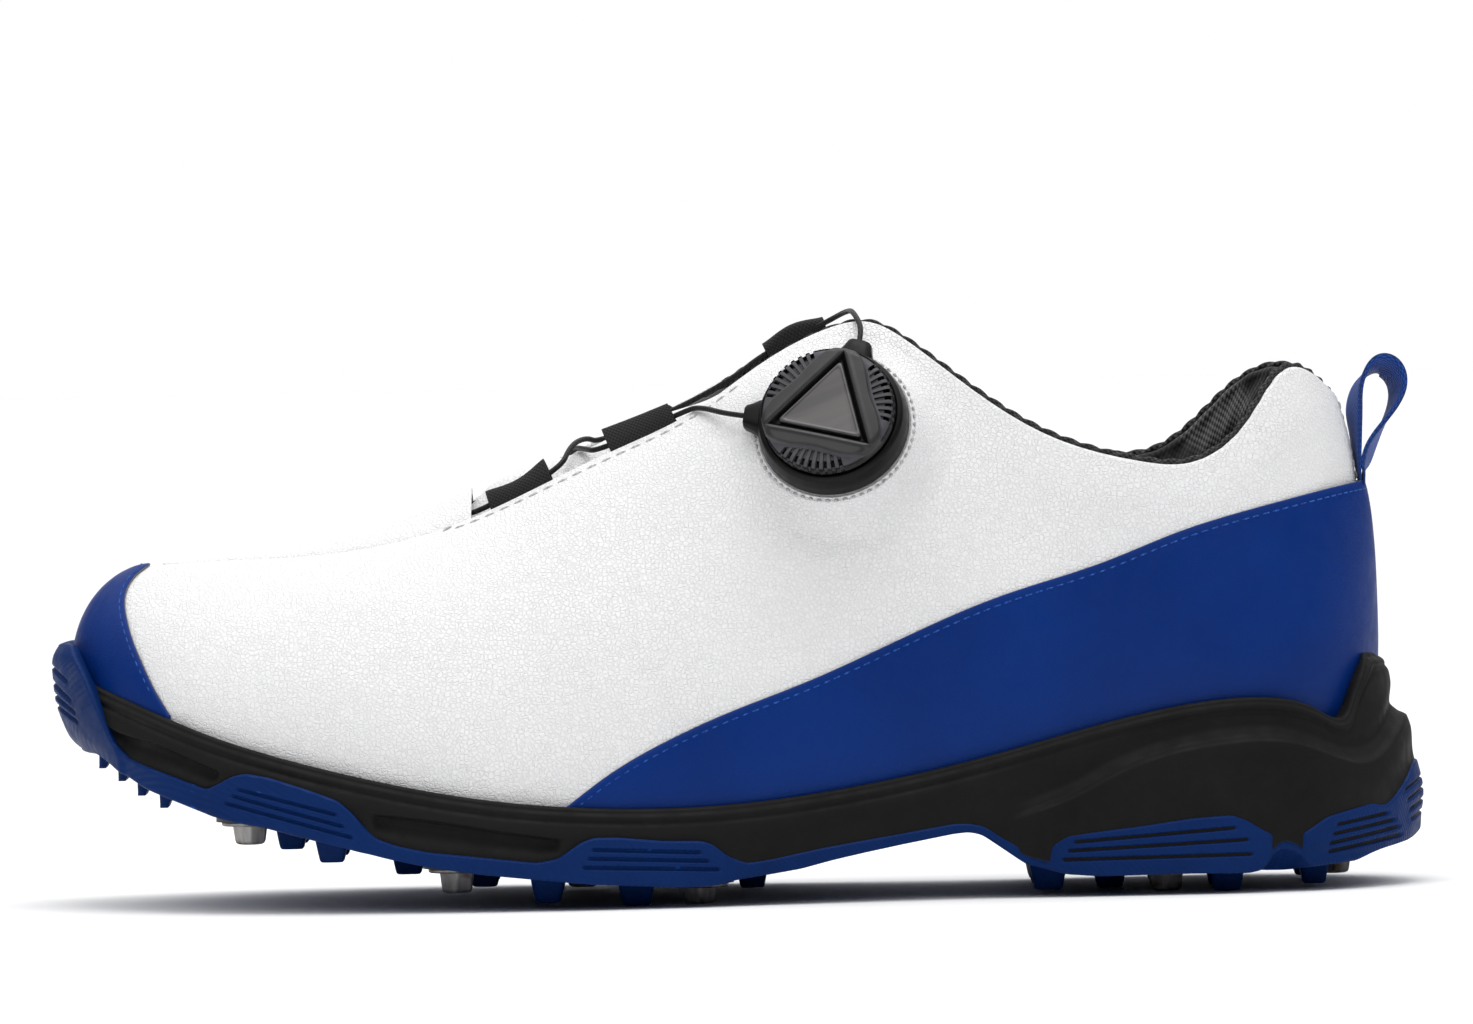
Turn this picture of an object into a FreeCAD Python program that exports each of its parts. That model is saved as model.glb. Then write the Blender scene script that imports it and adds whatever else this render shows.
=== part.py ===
"""A left golf shoe with a wire lacing dial, built as the separate pieces it is made from.

Frame: +X points to the heel, -X to the toe, -Y to the lateral (outer) side, +Y to the medial side
and +Z up.  The origin lies on the ground under the middle of the shoe.  Everything is in millimetres.

The upper is laid out on a last: one closed surface, last(s, v).  The parameter s runs round the shoe,
from 0 at the toe through the lateral side to 9 at the back of the heel and through the medial side
to 18 at the toe again.  The parameter v climbs from 0 at the sole edge to 1 at the top line, which
is the seam beside the vamp strip, then the throat, then the collar.  Each layer of the upper is a
patch of that surface between two depths.
"""

import FreeCAD
import Part

import bisect
import math
import os

Vector = FreeCAD.Vector
UP = Vector(0, 0, 1)

# ---------------------------------------------------------------- driving dimensions of the last

AROUND = 18.0  # one turn of s
HEEL = 9.0  # s at the back of the heel

# Height of the insole board's underside along the shoe: rows of x, z.
FLOOR = [
    (-150, 40.5), (-143, 38.0), (-120, 31.0), (-95, 24.5), (-65, 18.5), (-35, 15.5),
    (0, 16.0), (30, 20.0), (63, 26.0), (95, 30.0), (120, 31.5), (150, 32.5),
]

# Plan outline of the upper where it meets the sole: rows of s, x, y.
SOLE_EDGE = [
    (0, -143.5, 9.0), (1, -128.0, -21.0), (2, -98.0, -39.0), (3, -55.0, -47.5), (4, -12.0, -45.0),
    (5, 28.0, -37.5), (6, 64.0, -33.5), (7, 96.0, -33.0), (8, 124.0, -26.0), (9, 138.5, 0.0),
    (10, 124.0, 26.5), (11, 96.0, 32.5), (12, 64.0, 31.0), (13, 28.0, 33.0), (14, -12.0, 40.0),
    (15, -55.0, 48.0), (16, -98.0, 44.0), (17, -130.0, 31.5),
]

# Top line of the upper: rows of s, x, y, z.
TOP_LINE = [
    (0.0, -126.0, 6.0, 75.2), (0.6, -121.5, 2.8, 75.4), (1.2, -112.0, -0.2, 75.9),
    (2.0, -94.0, -4.5, 76.6), (3.0, -62.0, -11.5, 82.6), (4.0, -27.0, -15.0, 98.0),
    (4.5, -8.0, -15.8, 106.8), (5.0, 10.0, -15.2, 118.8), (5.4, 26.0, -16.0, 125.4),
    (5.8, 38.0, -18.6, 121.8), (6.2, 54.0, -23.2, 109.2), (6.6, 70.0, -27.6, 99.2),
    (7.1, 89.0, -30.2, 93.5), (7.5, 101.0, -28.8, 93.1), (7.9, 112.0, -25.4, 100.4),
    (8.2, 118.6, -21.6, 109.6), (8.5, 124.5, -16.0, 113.2), (8.75, 130.0, -9.0, 110.4),
    (9.0, 134.0, 0.0, 106.4),
    (9.25, 130.5, 9.4, 109.8), (9.5, 125.0, 16.6, 113.0), (9.8, 118.0, 22.4, 112.0),
    (10.1, 111.0, 26.0, 107.6), (10.5, 101.0, 28.6, 98.6), (10.9, 90.0, 29.2, 93.8),
    (11.4, 71.0, 26.6, 97.8), (11.8, 54.0, 22.4, 108.4), (12.2, 38.0, 17.6, 121.0),
    (12.6, 26.0, 14.4, 125.0), (13.0, 10.0, 13.2, 119.6), (13.5, -8.0, 13.4, 110.0),
    (14.0, -27.0, 13.0, 101.8), (15.0, -62.0, 12.5, 86.4), (16.0, -94.0, 10.6, 77.8),
    (16.8, -112.0, 9.8, 76.2), (17.4, -121.5, 9.2, 75.5),
]

# How the wall swells between the two edges: rows of s, rise and swell of the lower control line,
# reach and drop of the upper one.  The medial side mirrors the lateral side.
WALL_SHAPE = [
    (0, 20.5, 7.0, 15.0, 0.6), (1, 21.5, 6.5, 16.0, 1.2), (2, 27.0, 5.5, 19.5, 2.4),
    (3, 31.0, 5.0, 19.0, 6.0), (4, 36.0, 4.0, 18.0, 8.0), (5, 42.0, 3.5, 17.0, 6.0),
    (6, 36.0, 3.2, 8.5, 19.0), (7, 24.0, 3.6, 3.4, 20.0), (8, 24.0, 4.4, 4.6, 22.0),
    (9, 24.0, 5.5, 5.5, 22.4),
]

# Rise of the vamp strip's crown over its two edges: rows of s.
STRIP_RISE = [(0, 0.2), (1, 0.8), (1.8, 1.6), (2.3, 2.2), (3.2, 3.2), (4, 3.2)]

LEATHER = 1.4
GAP = 0.15  # left between layers that lie on each other
OVERLAY = 0.9
LINING = 1.0
LINING_DEPTH = 2.95  # from the leather's face to the lining's outer face
THROAT_LINING_DEPTH = 2.5
COLLAR_PAD = 4.4  # how much deeper the lining lies behind the collar's foam

# ---------------------------------------------------------------- driving dimensions of the sole

# Inner wall of the midsole cup, out from the sole edge: rows of s.
CUP = [(0, 4.3), (1, 3.3), (2, 2.6), (3, 2.4), (4, 2.2), (5, 2.3), (6, 2.5), (7, 2.7), (8, 3.0),
       (9, 3.8)]
# Outer face of the midsole, out from the upper's sole edge: rows of s.
SOLE_FLARE = [(0, 6.0), (1, 5.7), (2, 5.6), (3, 5.6), (4, 5.6), (5, 5.8), (6, 6.0), (7, 6.5),
              (8, 8.2), (9, 11.0)]
PANEL_PROUD = 0.5  # the outsole's side panels stand this far out of the midsole
PANEL_DEPTH = 2.4

# Upper edge of the midsole: rows of x, z.
LIP = [
    (-141.0, 48.6), (-134.0, 45.7), (-123.0, 41.2), (-112.0, 37.1), (-101.0, 33.7), (-79.0, 28.1),
    (-49.0, 22.7), (-32.0, 21.2), (0.0, 21.2), (24.0, 24.0), (53.6, 30.0), (86.0, 38.4),
    (104.0, 41.3), (118.0, 41.2), (127.0, 38.6), (132.0, 36.4), (135.4, 38.2), (139.0, 45.0),
    (142.9, 50.0),
]
# Back of the heel, from the midsole's tab down to the outsole: points x, z.
SOLE_BACK = [(142.9, 50.0), (145.4, 45.5), (145.6, 39.0), (147.8, 31.6), (149.4, 25.0), (149.6, 18.8)]
# Underside of the outsole without its lugs: rows of x, z.
TREAD = [
    (-143.5, 36.0), (-138.0, 31.5), (-130.0, 27.6), (-121.4, 24.4), (-102.0, 18.6), (-76.0, 12.2),
    (-57.0, 8.5), (-35.0, 5.9), (-12.0, 4.8), (4.0, 6.2), (20.0, 9.4), (35.0, 12.6), (47.0, 14.6),
    (53.0, 13.8), (60.0, 9.2), (68.0, 5.6), (80.0, 4.8), (108.0, 4.8), (126.0, 5.4), (140.0, 8.2),
    (147.0, 12.0), (149.6, 18.8),
]
OUTSOLE = 2.2  # thickness of the outsole's web

# Side panels of the outsole, as outlines in side view: points x, z.
SIDE_PANELS = [
    [(-116.5, 20.0), (-115.4, 26.7), (-109.4, 29.9), (-106.0, 30.5), (-100.0, 29.3), (-87.0, 24.8),
     (-82.5, 20.6), (-78.4, 16.2), (-74.0, 10.0)],
    [(-46.0, 6.0), (-42.0, 10.2), (-38.6, 11.4), (-34.0, 14.8), (-31.0, 15.6), (-8.3, 14.4),
     (-4.6, 12.8), (2.0, 8.0), (4.0, 5.0)],
    [(60.0, 7.5), (68.0, 11.1), (71.5, 13.4), (103.0, 17.0), (107.5, 16.9), (111.5, 15.0),
     (115.0, 12.0), (116.0, 7.0)],
    [(120.5, 8.0), (121.8, 11.2), (124.5, 13.8), (127.6, 15.9), (137.4, 18.4), (140.7, 17.4),
     (142.7, 19.6), (146.5, 24.0), (151.0, 27.2), (153.0, 12.0)],
]
# Toe guard in side view, from its peak down its rear edge, then back to the front: points x, z.
TOE_GUARD = [
    (-146.6, 58.6), (-143.0, 53.8), (-140.8, 48.6), (-139.2, 43.7), (-137.6, 38.0), (-135.1, 33.9),
    (-131.2, 32.2), (-128.0, 22.0), (-143.0, 33.4), (-147.6, 40.0), (-149.4, 45.0), (-150.0, 52.0),
    (-149.4, 56.2),
]
# Front of the sole in side view, from the tread up to the guard's peak: points x, z.
SOLE_FRONT = [(-143.5, 36.0), (-147.6, 40.0), (-149.4, 45.0), (-150.0, 52.0), (-149.4, 56.2),
              (-146.6, 58.6)]

# Rows of lugs: x, height of the tips over the ground, length along x, widths across and places
# across the shoe as fractions of the half width.
LUG_ROWS = [
    (-139.2, 30.4, 3.0, 13.0, (0.0,)), (-134.8, 27.6, 3.2, 17.0, (0.0,)),
    (-129.8, 24.9, 3.4, 15.0, (-0.5, 0.5)), (-124.6, 22.4, 3.6, 13.0, (-0.62, 0.62)),
    (-98.0, 12.6, 7.0, 8.0, (-0.34, 0.3, 0.8)), (-88.5, 10.6, 7.0, 9.0, (-0.78, -0.1)),
    (-72.6, 6.4, 7.4, 9.0, (-0.76, -0.2, 0.28)), (-56.0, 3.1, 7.4, 9.0, (-0.1, 0.42, 0.82)),
    (-41.6, 1.2, 7.4, 9.0, (-0.8, -0.3, 0.14)), (-22.4, 0.0, 8.0, 9.0, (-0.76, -0.2, 0.35, 0.82)),
    (2.8, 1.6, 7.0, 10.0, (-0.78, 0.0, 0.78)), (67.4, 1.0, 8.0, 11.0, (-0.68, 0.0, 0.68)),
    (81.6, 0.0, 7.6, 8.0, (-0.76, 0.0, 0.76)), (106.4, 0.0, 7.6, 8.0, (-0.74, 0.0, 0.74)),
    (125.8, 0.8, 6.6, 8.0, (-0.66, 0.66)), (139.0, 4.2, 6.0, 9.0, (-0.5, 0.5)),
]
# Stud cleats: x, y, height of the tip over the ground.
CLEATS = [
    (-106.6, -24.0, 14.4), (-80.3, 31.0, 9.0), (-61.4, -34.0, 3.4), (-35.0, 31.0, 0.6),
    (-8.6, -33.0, 0.0), (93.3, -19.0, 0.0), (94.0, 19.0, 0.0), (131.1, 0.0, 2.0),
]
LUG_TAPER = 0.72  # size of a lug's tip over its root
STUD_FLATS = 7.4
FLANGE_RADIUS = 6.2
SOCKET_RADIUS = 7.4
STEM_RADIUS = 3.0
STEM_FIT = 0.05

# ---------------------------------------------------------------- driving dimensions of the dial

DIAL_S, DIAL_V = 5.18, 0.665  # where the dial's axis meets the last
DIAL_AXIS = Vector(-0.17, -0.88, 0.44).normalize()
PAD_RADIUS = 20.0  # the raised pad under the housing
HOUSING_RADIUS = 16.4
HOUSING_BORE = 14.5
HOUSING_FLOOR = 1.2
HOUSING_TOP = 6.5
POST_RADIUS, POST_BORE, POST_TOP = 2.2, 1.25, 7.6
SPOOL_RADIUS, SPOOL_NECK, SPOOL_BOTTOM, SPOOL_TOP = 13.2, 9.0, 1.35, 4.9
RATCHET_TEETH, RATCHET_ROOT, RATCHET_TIP, RATCHET_TOP = 36, 13.4, 12.6, 6.4
RATCHET_BOTTOM = 5.05
DRIVE_TEETH, DRIVE_RADIUS, DRIVE_BOTTOM = 12, 7.0, 2.6
PAWL_RADIUS, PAWL_BOTTOM, PAWL_TOP = 12.3, 5.1, 6.4
SLEEVE_RADIUS, SLEEVE_BOTTOM, SLEEVE_TOP = 3.9, 1.5, 9.4
KNOB_CORE, KNOB_BOTTOM, KNOB_TOP = 14.0, 6.75, 11.4
GRIP_RADIUS, GRIP_RIBS = 14.6, 9
RUNNING = 0.1  # clearance between parts that turn or slide on each other
WIRE_RADIUS = 0.6
WIRE_HOLE = 0.85
PORT_HEIGHT = 3.0
PORT_ANGLES = (171.0, 70.0)  # lower port towards the toe, upper port towards the throat
PORT_REACH = 19.6

# ---------------------------------------------------------------- driving dimensions of the lacing

# Webbing guides along the throat: name, s at the lower and at the upper end.
GUIDES = [
    ("guide_near_1", 3.27, 3.66), ("guide_near_2", 4.02, 4.40),
    ("guide_far_1", 14.73, 14.34), ("guide_far_2", 13.98, 13.62), ("guide_far_3", 13.02, 12.78),
]
GUIDE_RADIUS, GUIDE_BORE = 2.2, 0.9
GUIDE_RISE = 2.5  # the guide's bore runs this far beyond the throat's edge
LACE_BEND = 2.2


# ---------------------------------------------------------------- curves and the last

def curve(rows, period=None):
    """A smooth function of t through rows of (t, value, ...), closed on itself over a period."""
    knots = [float(row[0]) for row in rows]
    points = [tuple(float(x) for x in row[1:]) for row in rows]
    if period:
        knots = [knots[-1] - period] + knots + [knots[0] + period]
        points = [points[-1]] + points + [points[0]]
    count, width = len(knots), len(points[0])
    bends = [[0.0] * width for _ in knots]
    for _ in range(60):  # relaxes the second derivatives until they agree
        for i in range(1, count - 1):
            before, after = knots[i] - knots[i - 1], knots[i + 1] - knots[i]
            for k in range(width):
                rise = (points[i + 1][k] - points[i][k]) / after
                run = (points[i][k] - points[i - 1][k]) / before
                pull = 6 * (rise - run) - before * bends[i - 1][k] - after * bends[i + 1][k]
                bends[i][k] = pull / (2 * (before + after))
        if period:
            bends[0], bends[-1] = list(bends[-2]), list(bends[1])

    def value(t):
        if period:
            t = knots[1] + (t - knots[1]) % period
        i = min(max(bisect.bisect_right(knots, t) - 1, 0), count - 2)
        step = knots[i + 1] - knots[i]
        b = (t - knots[i]) / step
        a = 1 - b
        found = tuple(
            a * points[i][k] + b * points[i + 1][k]
            + ((a**3 - a) * bends[i][k] + (b**3 - b) * bends[i + 1][k]) * step**2 / 6
            for k in range(width)
        )
        return found[0] if width == 1 else found

    return value


def both_sides(rows):
    """Rows of s for one side, repeated for the other."""
    mirrored = [(AROUND - row[0], *row[1:]) for row in rows[::-1] if 0 < row[0] < HEEL]
    return [*rows, *mirrored]


floor_height = curve(FLOOR)
sole_edge = curve(SOLE_EDGE, AROUND)
top_line = curve(TOP_LINE, AROUND)
wall_shape = curve(both_sides(WALL_SHAPE), AROUND)
strip_rise = curve(STRIP_RISE)
sole_flare = curve(both_sides(SOLE_FLARE), AROUND)
cup_wall = curve(both_sides(CUP), AROUND)
lip_height = curve(LIP)
tread_height = curve(TREAD)


def smooth(low, high, x):
    """0 below low, 1 above high and an even slope between them."""
    t = min(max((x - low) / (high - low), 0.0), 1.0)
    return t * t * (3 - 2 * t)


def outward(s):
    """The level direction that points out of the shoe at the sole edge."""
    ahead, behind = sole_edge(s + 0.01), sole_edge(s - 0.01)
    return Vector(behind[1] - ahead[1], ahead[0] - behind[0], 0).normalize() * -1


def last(s, v):
    """A point of the leather's outer face."""
    x, y = sole_edge(s)
    foot, top = Vector(x, y, floor_height(x)), Vector(*top_line(s))
    rise, swell, reach, drop = wall_shape(s)
    out = outward(s)
    low = foot + UP * rise + out * swell
    high = top + out * reach - UP * drop
    w = 1 - v
    return foot * w**3 + low * (3 * w * w * v) + high * (3 * w * v * v) + top * v**3


def normal(point, a, b, step=0.004):
    """The unit normal of a surface point(a, b)."""
    along = point(a + step, b) - point(a - step, b)
    across = point(a, b + step) - point(a, b - step)
    return along.cross(across).normalize()


def last_normal(s, v):
    """The last's normal, pointing out of the shoe."""
    return normal(last, s, v)


def layer_point(s, v, depth):
    """A point at a depth under the leather's outer face."""
    return last(s, v) - last_normal(s, v) * depth


def height_where(s, test):
    """The v at which test(point) passes from below zero to above it, climbing from the sole edge."""
    low, high = 0.0, 1.0
    if test(last(s, low)) > 0:
        return low
    if test(last(s, high)) < 0:
        return high
    for _ in range(30):
        middle = (low + high) / 2
        low, high = (middle, high) if test(last(s, middle)) < 0 else (low, middle)
    return low


# ---------------------------------------------------------------- solids from grids of points

LEAD = 3  # extra rows fitted before a sheet's start and then trimmed off, for a true edge


def sheet(point, a_range, b_range, columns, rows):
    """The surface through point(a, b) over a_range and b_range(a)."""
    a0, a1 = a_range
    stride = (a1 - a0) / (columns - 1)
    grid = []
    for i in range(-LEAD, columns):
        a = a0 + stride * i
        b0, b1 = b_range(a)
        rise = (b1 - b0) / (rows - 1)
        grid.append([point(a, b0 + rise * k) for k in range(-LEAD, rows)])
    found = Part.BSplineSurface()
    found.interpolate(grid)
    u, v = found.parameter(grid[LEAD][LEAD])
    _, u_end, _, v_end = found.bounds()
    found.segment(u, u_end, v, v_end)
    return found


def between(*skins):
    """The closed solid between two surfaces that face each other."""
    faces = [skin.toShape() for skin in skins]
    u0, u1, v0, v1 = skins[0].bounds()
    p0, p1, q0, q1 = skins[1].bounds()
    rims = [
        (skins[0].uIso(u0), skins[1].uIso(p0)), (skins[0].uIso(u1), skins[1].uIso(p1)),
        (skins[0].vIso(v0), skins[1].vIso(q0)), (skins[0].vIso(v1), skins[1].vIso(q1)),
    ]
    faces += [Part.makeRuledSurface(a.toShape(), b.toShape()) for a, b in rims]
    shell = Part.makeShell(faces)
    shell.sewShape()
    solid = Part.makeSolid(Part.Shell(shell.Faces))
    if solid.Volume < 0:
        solid.reverse()
    return solid


def steps(low, high, count):
    return [low + (high - low) * i / (count - 1) for i in range(count)]


def patch(s_range, bottom, top, outer_depth, inner_depth, columns, rows):
    """A layer of the upper over s_range, from v = bottom(s) to top(s), between two depths(s, v)."""
    def skin(depth):
        return sheet(lambda s, v: layer_point(s, v, depth(s, v)), s_range,
                     lambda s: (bottom(s), top(s)), columns, rows)

    return between(skin(outer_depth), skin(inner_depth))


def even(value):
    """A function that is the same everywhere."""
    return lambda *place: value


def side_face(*chains):
    """A face in side view.  Chains of points x, z: two points make a line, more a smooth curve."""
    edges, start, end = [], None, None
    for chain in chains:
        points = [Vector(x, -100, z) for x, z in chain]
        if end is None:
            start = points[0]
        elif end.distanceToPoint(points[0]) > 0.001:
            edges.append(Part.makeLine(end, points[0]))
        if len(points) == 2:
            edges.append(Part.makeLine(*points))
        else:
            line = Part.BSplineCurve()
            line.interpolate(points)
            edges.append(line.toShape())
        end = points[-1]
    if end.distanceToPoint(start) > 0.001:
        edges.append(Part.makeLine(end, start))
    return Part.Face(Part.Wire(edges))


def across(face):
    """A slab right across the shoe."""
    return face.extrude(Vector(0, 200, 0))


def polygon_face(points, grow=0.0):
    points = [Vector(x, -100, z) for x, z in points]
    face = Part.Face(Part.makePolygon([*points, points[0]]))
    return face.makeOffset2D(grow, 2) if grow else face


def plan_prism(offset, count=60):
    """A column over the sole edge's plan outline, moved outwards by offset(s)."""
    points = []
    for i in range(count):
        s = AROUND * i / count
        x, y = sole_edge(s)
        points.append(Vector(x, y, 0) + outward(s) * offset(s))
    line = Part.BSplineCurve()
    line.interpolate(points, PeriodicFlag=True)
    return Part.Face(Part.Wire(line.toShape())).extrude(Vector(0, 0, 130))


def along_x(rows, rise=0.0, x0=None, x1=None, count=28):
    """Points x, z of a height curve through rows, lifted by rise."""
    height = curve(rows)
    x0 = rows[0][0] if x0 is None else x0
    x1 = rows[-1][0] if x1 is None else x1
    return [(x, height(x) + rise) for x in steps(x0, x1, count)]


def half_width(x, s_low, s_high):
    """The level distance of the sole edge from y = 0 at x, on the side between two s."""
    rising = sole_edge(s_low)[0] < sole_edge(s_high)[0]
    for _ in range(40):
        middle = (s_low + s_high) / 2
        if (sole_edge(middle)[0] < x) == rising:
            s_low = middle
        else:
            s_high = middle
    return sole_edge(s_low)[1]


def place_across(x, fraction):
    """The y at x that lies a fraction of the half width from the middle, lateral side negative."""
    x = min(max(x, -141.0), 136.0)
    lateral = half_width(x, 0.02, 8.9)
    medial = half_width(x, 17.98, 9.1)
    return (lateral + medial) / 2 + fraction * (medial - lateral) / 2


# ---------------------------------------------------------------- the sole

def cleat_wells(radius, low, high):
    """Upright cylinders at the cleats, between two heights over the tread."""
    wells = []
    for x, y, _tip in CLEATS:
        z = tread_height(x)
        wells.append(Part.makeCylinder(radius, high - low, Vector(x, y, z + low)))
    return wells


def side_panels(grow=0.0):
    """The outsole's side panels and toe guard, as a list of solids."""
    outer = plan_prism(lambda s: sole_flare(s) + PANEL_PROUD + grow)
    inner = plan_prism(lambda s: sole_flare(s) + PANEL_PROUD - PANEL_DEPTH - grow)
    ring = outer.cut(inner)
    back = [(x + grow * 3, z) for x, z in SOLE_BACK[::-1]]
    trim = across(side_face([(-170, -5), (155, -5)], [(155, -5), (155, 18.0)], back,
                            [(142.9 + grow * 3, 90), (-170, 90)]))
    above = across(side_face(along_x(TREAD, -grow, -143.5, 147.0, 50), [(147, 12), (154, 26)],
                             [(154, 26), (154, 120)], [(154, 120), (-152, 120)],
                             [(-152, 120), (-152, 46)], [(-152, 46), (-147.6, 39.6 - grow)]))
    ring = ring.common(trim).common(above)
    solids = []
    for outline in [*SIDE_PANELS, TOE_GUARD]:
        solids += ring.common(across(polygon_face(outline, grow))).Solids
    return solids


def lug(x, y, tip, length, width):
    """A tapered block from the ground up into the outsole's web."""
    root = tread_height(x) + 1.2
    wires = []
    for z, scale in ((tip, LUG_TAPER), (root, 1.12)):
        a, b = length / 2 * scale, width / 2 * scale
        corners = [Vector(x - a, y - b, z), Vector(x + a, y - b, z), Vector(x + a, y + b, z),
                   Vector(x - a, y + b, z)]
        wires.append(Part.makePolygon([*corners, corners[0]]))
    return Part.makeLoft(wires, True, True)


def make_outsole(panels):
    tread = along_x(TREAD, 0.0, -143.5, 147.0, 50)
    web = across(side_face(tread, [tread[-1], (148.6, 16.5)],
                           along_x(TREAD, OUTSOLE, -143.5, 145.0, 50)[::-1]))
    web = web.common(plan_prism(lambda s: sole_flare(s) - 0.4))
    lugs = []
    for x, tip, length, width, places in LUG_ROWS:
        for fraction in places:
            y = place_across(x, fraction)
            near = [c for c in CLEATS if math.hypot(c[0] - x, c[1] - y) < 13.5]
            if not near:
                lugs.append(lug(x, y, tip, length, width))
    body = web.multiFuse([*panels, *lugs])
    for well in cleat_wells(SOCKET_RADIUS + GAP, -9.0, 9.0):
        body = body.cut(well)
    return body


def make_midsole(grown_panels):
    bottom = along_x(TREAD, OUTSOLE + 0.1, -143.5, 145.0, 50)
    lip = along_x(LIP)
    front = [(-146.5, 50.5), (-147.2, 44.0), (-143.5, 38.3)]
    back = [*SOLE_BACK[:-1], (149.5, 22.0)]
    side = across(side_face(bottom, [bottom[-1], back[-1]], back[::-1],
                            lip[::-1], [lip[0], (-146.5, 50.5)], front))
    body = side.common(plan_prism(sole_flare))
    cavity = plan_prism(cup_wall).common(
        across(side_face(along_x(FLOOR, -0.1), [(150, 33), (150, 120)], [(150, 120), (-150, 120)])))
    body = body.cut(cavity)
    swoosh = side_face([(60, 17.6), (73, 22.4), (81, 26.8), (92, 31.0), (105, 33.4), (115, 33.9),
                        (124, 32.4), (131, 29.3), (137, 28.3), (141, 30.4), (148, 36.5)],
                       [(152, 33.0), (141, 28.6), (137, 26.5), (131, 27.5), (124, 30.6),
                        (115, 32.1), (105, 31.6), (92, 29.2), (81, 25.0), (73, 20.8), (61, 15.8)])
    groove = side_face([(-79, 21.9), (-67, 20.4), (-49, 17.4), (-38, 15.9)],
                       [(-38, 14.9), (-49, 16.4), (-67, 19.4), (-79, 20.9)])
    skin = plan_prism(lambda s: sole_flare(s) + 3).cut(plan_prism(lambda s: sole_flare(s) - 0.7))
    cuts = [skin.common(across(groove)), across(swoosh).common(skin)]
    wells = cleat_wells(SOCKET_RADIUS + GAP, -9.0, 5.6)
    for cut in [*grown_panels, *cuts, *wells]:
        body = body.cut(cut)
    pocket = shank_blank(SHANK_WIDTH + 0.3, -2.0, 1.0, -31.2, 61.2)
    return body.cut(pocket)


SHANK_WIDTH = 16.0


def shank_blank(width, low, high, x0, x1):
    slab = across(side_face(along_x(FLOOR, low, x0, x1), along_x(FLOOR, high, x0, x1)[::-1]))
    return slab.common(Part.makeBox(x1 - x0 + 2, width, 80, Vector(x0 - 1, -width / 2 - 1.5, 0)))


def floor_layer(low, high, offset):
    """A sheet over the whole floor of the shoe."""
    top = along_x(FLOOR, high)
    return across(side_face(along_x(FLOOR, low), top[::-1])).common(plan_prism(offset))


def make_cleat(x, y, tip):
    """A screw-in stud: hexagonal foot, flange and stem."""
    z = tread_height(x)
    flange = z - 1.3
    corner = STUD_FLATS / math.sqrt(3)
    ring = [Vector(x + corner * math.cos(math.radians(60 * i + 30)),
                   y + corner * math.sin(math.radians(60 * i + 30)), flange + 0.2)
            for i in range(6)]
    foot = [Vector(x + (p.x - x) * 0.84, y + (p.y - y) * 0.84, tip) for p in ring]
    stud = Part.makeLoft([Part.makePolygon([*foot, foot[0]]), Part.makePolygon([*ring, ring[0]])],
                         True, True)
    disc = Part.makeCylinder(FLANGE_RADIUS, 0.9, Vector(x, y, flange))
    stem = Part.makeCylinder(STEM_RADIUS, 4.4, Vector(x, y, flange + 0.8))
    return stud.multiFuse([disc, stem]).removeSplitter()


def make_socket(x, y):
    """The plastic receptacle moulded into the sole for one stud."""
    z = tread_height(x)
    body = Part.makeCylinder(SOCKET_RADIUS, 5.7, Vector(x, y, z - 0.35))
    return body.cut(Part.makeCylinder(STEM_RADIUS + STEM_FIT, 4.6, Vector(x, y, z - 0.6)))


# ---------------------------------------------------------------- the upper

LATERAL = (0.03, 8.975)
MEDIAL = (9.025, 17.97)

# Edge of the blue toe cap and of the blue quarter panels in side view: rows of z, x and of x, z.
TOE_CAP_EDGE = [
    (36.0, -119.5), (41.2, -122.2), (47.2, -126.0), (53.4, -129.2), (58.9, -131.7), (63.9, -133.3),
    (68.3, -134.0), (71.6, -133.0), (73.8, -131.0), (74.8, -127.5), (76.0, -121.0),
]
QUARTER_EDGE = [
    (-60.0, 15.0), (-46.0, 17.5), (-38.1, 21.5), (-29.8, 27.4), (-15.3, 35.6), (1.4, 42.6),
    (14.2, 47.2), (36.5, 56.6), (58.7, 65.4), (80.9, 72.2), (96.7, 78.2), (107.4, 81.4),
    (117.8, 84.0), (128.4, 86.4), (136.8, 87.8), (145.0, 88.4),
]
toe_cap_edge = curve(TOE_CAP_EDGE)
quarter_edge = curve(QUARTER_EDGE)


def collar_swell(s, v):
    """1 in the middle of the padded collar, 0 away from it."""
    s = min(s, AROUND - s)
    return smooth(5.9, 7.0, s) * smooth(0.58, 0.80, v) * (1 - 0.8 * smooth(0.9, 1.0, v))


def lining_depth(s, v):
    return LINING_DEPTH + COLLAR_PAD * collar_swell(s, v)


def toe_cap_top(s):
    return max(height_where(s, lambda p: p.x - toe_cap_edge(min(max(p.z, 36), 76))), 0.05)


def quarter_top(s):
    return max(height_where(s, lambda p: p.z - quarter_edge(min(max(p.x, -60), 145))), 0.06)


def strip_point(s, t, depth):
    """A point of the vamp strip; t runs from 0 at its lateral seam to 1 at its medial one."""
    a, b = Vector(*top_line(s)), Vector(*top_line(AROUND - s))
    rise = strip_rise(s) * (1 - (2 * t - 1) ** 2)
    return a + (b - a) * (0.06 + 0.88 * t) + UP * (rise - depth)


def strip(s0, s1, outer, inner, columns=14):
    skins = [sheet(lambda s, t: strip_point(s, t, depth), (s0, s1), even((0.0, 1.0)), columns, 9)
             for depth in (outer, inner)]
    return between(*skins)


TONGUE_START, TONGUE_END = 2.86, 5.45
TONGUE_DEPTH = LINING_DEPTH + LINING + 0.55


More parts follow.
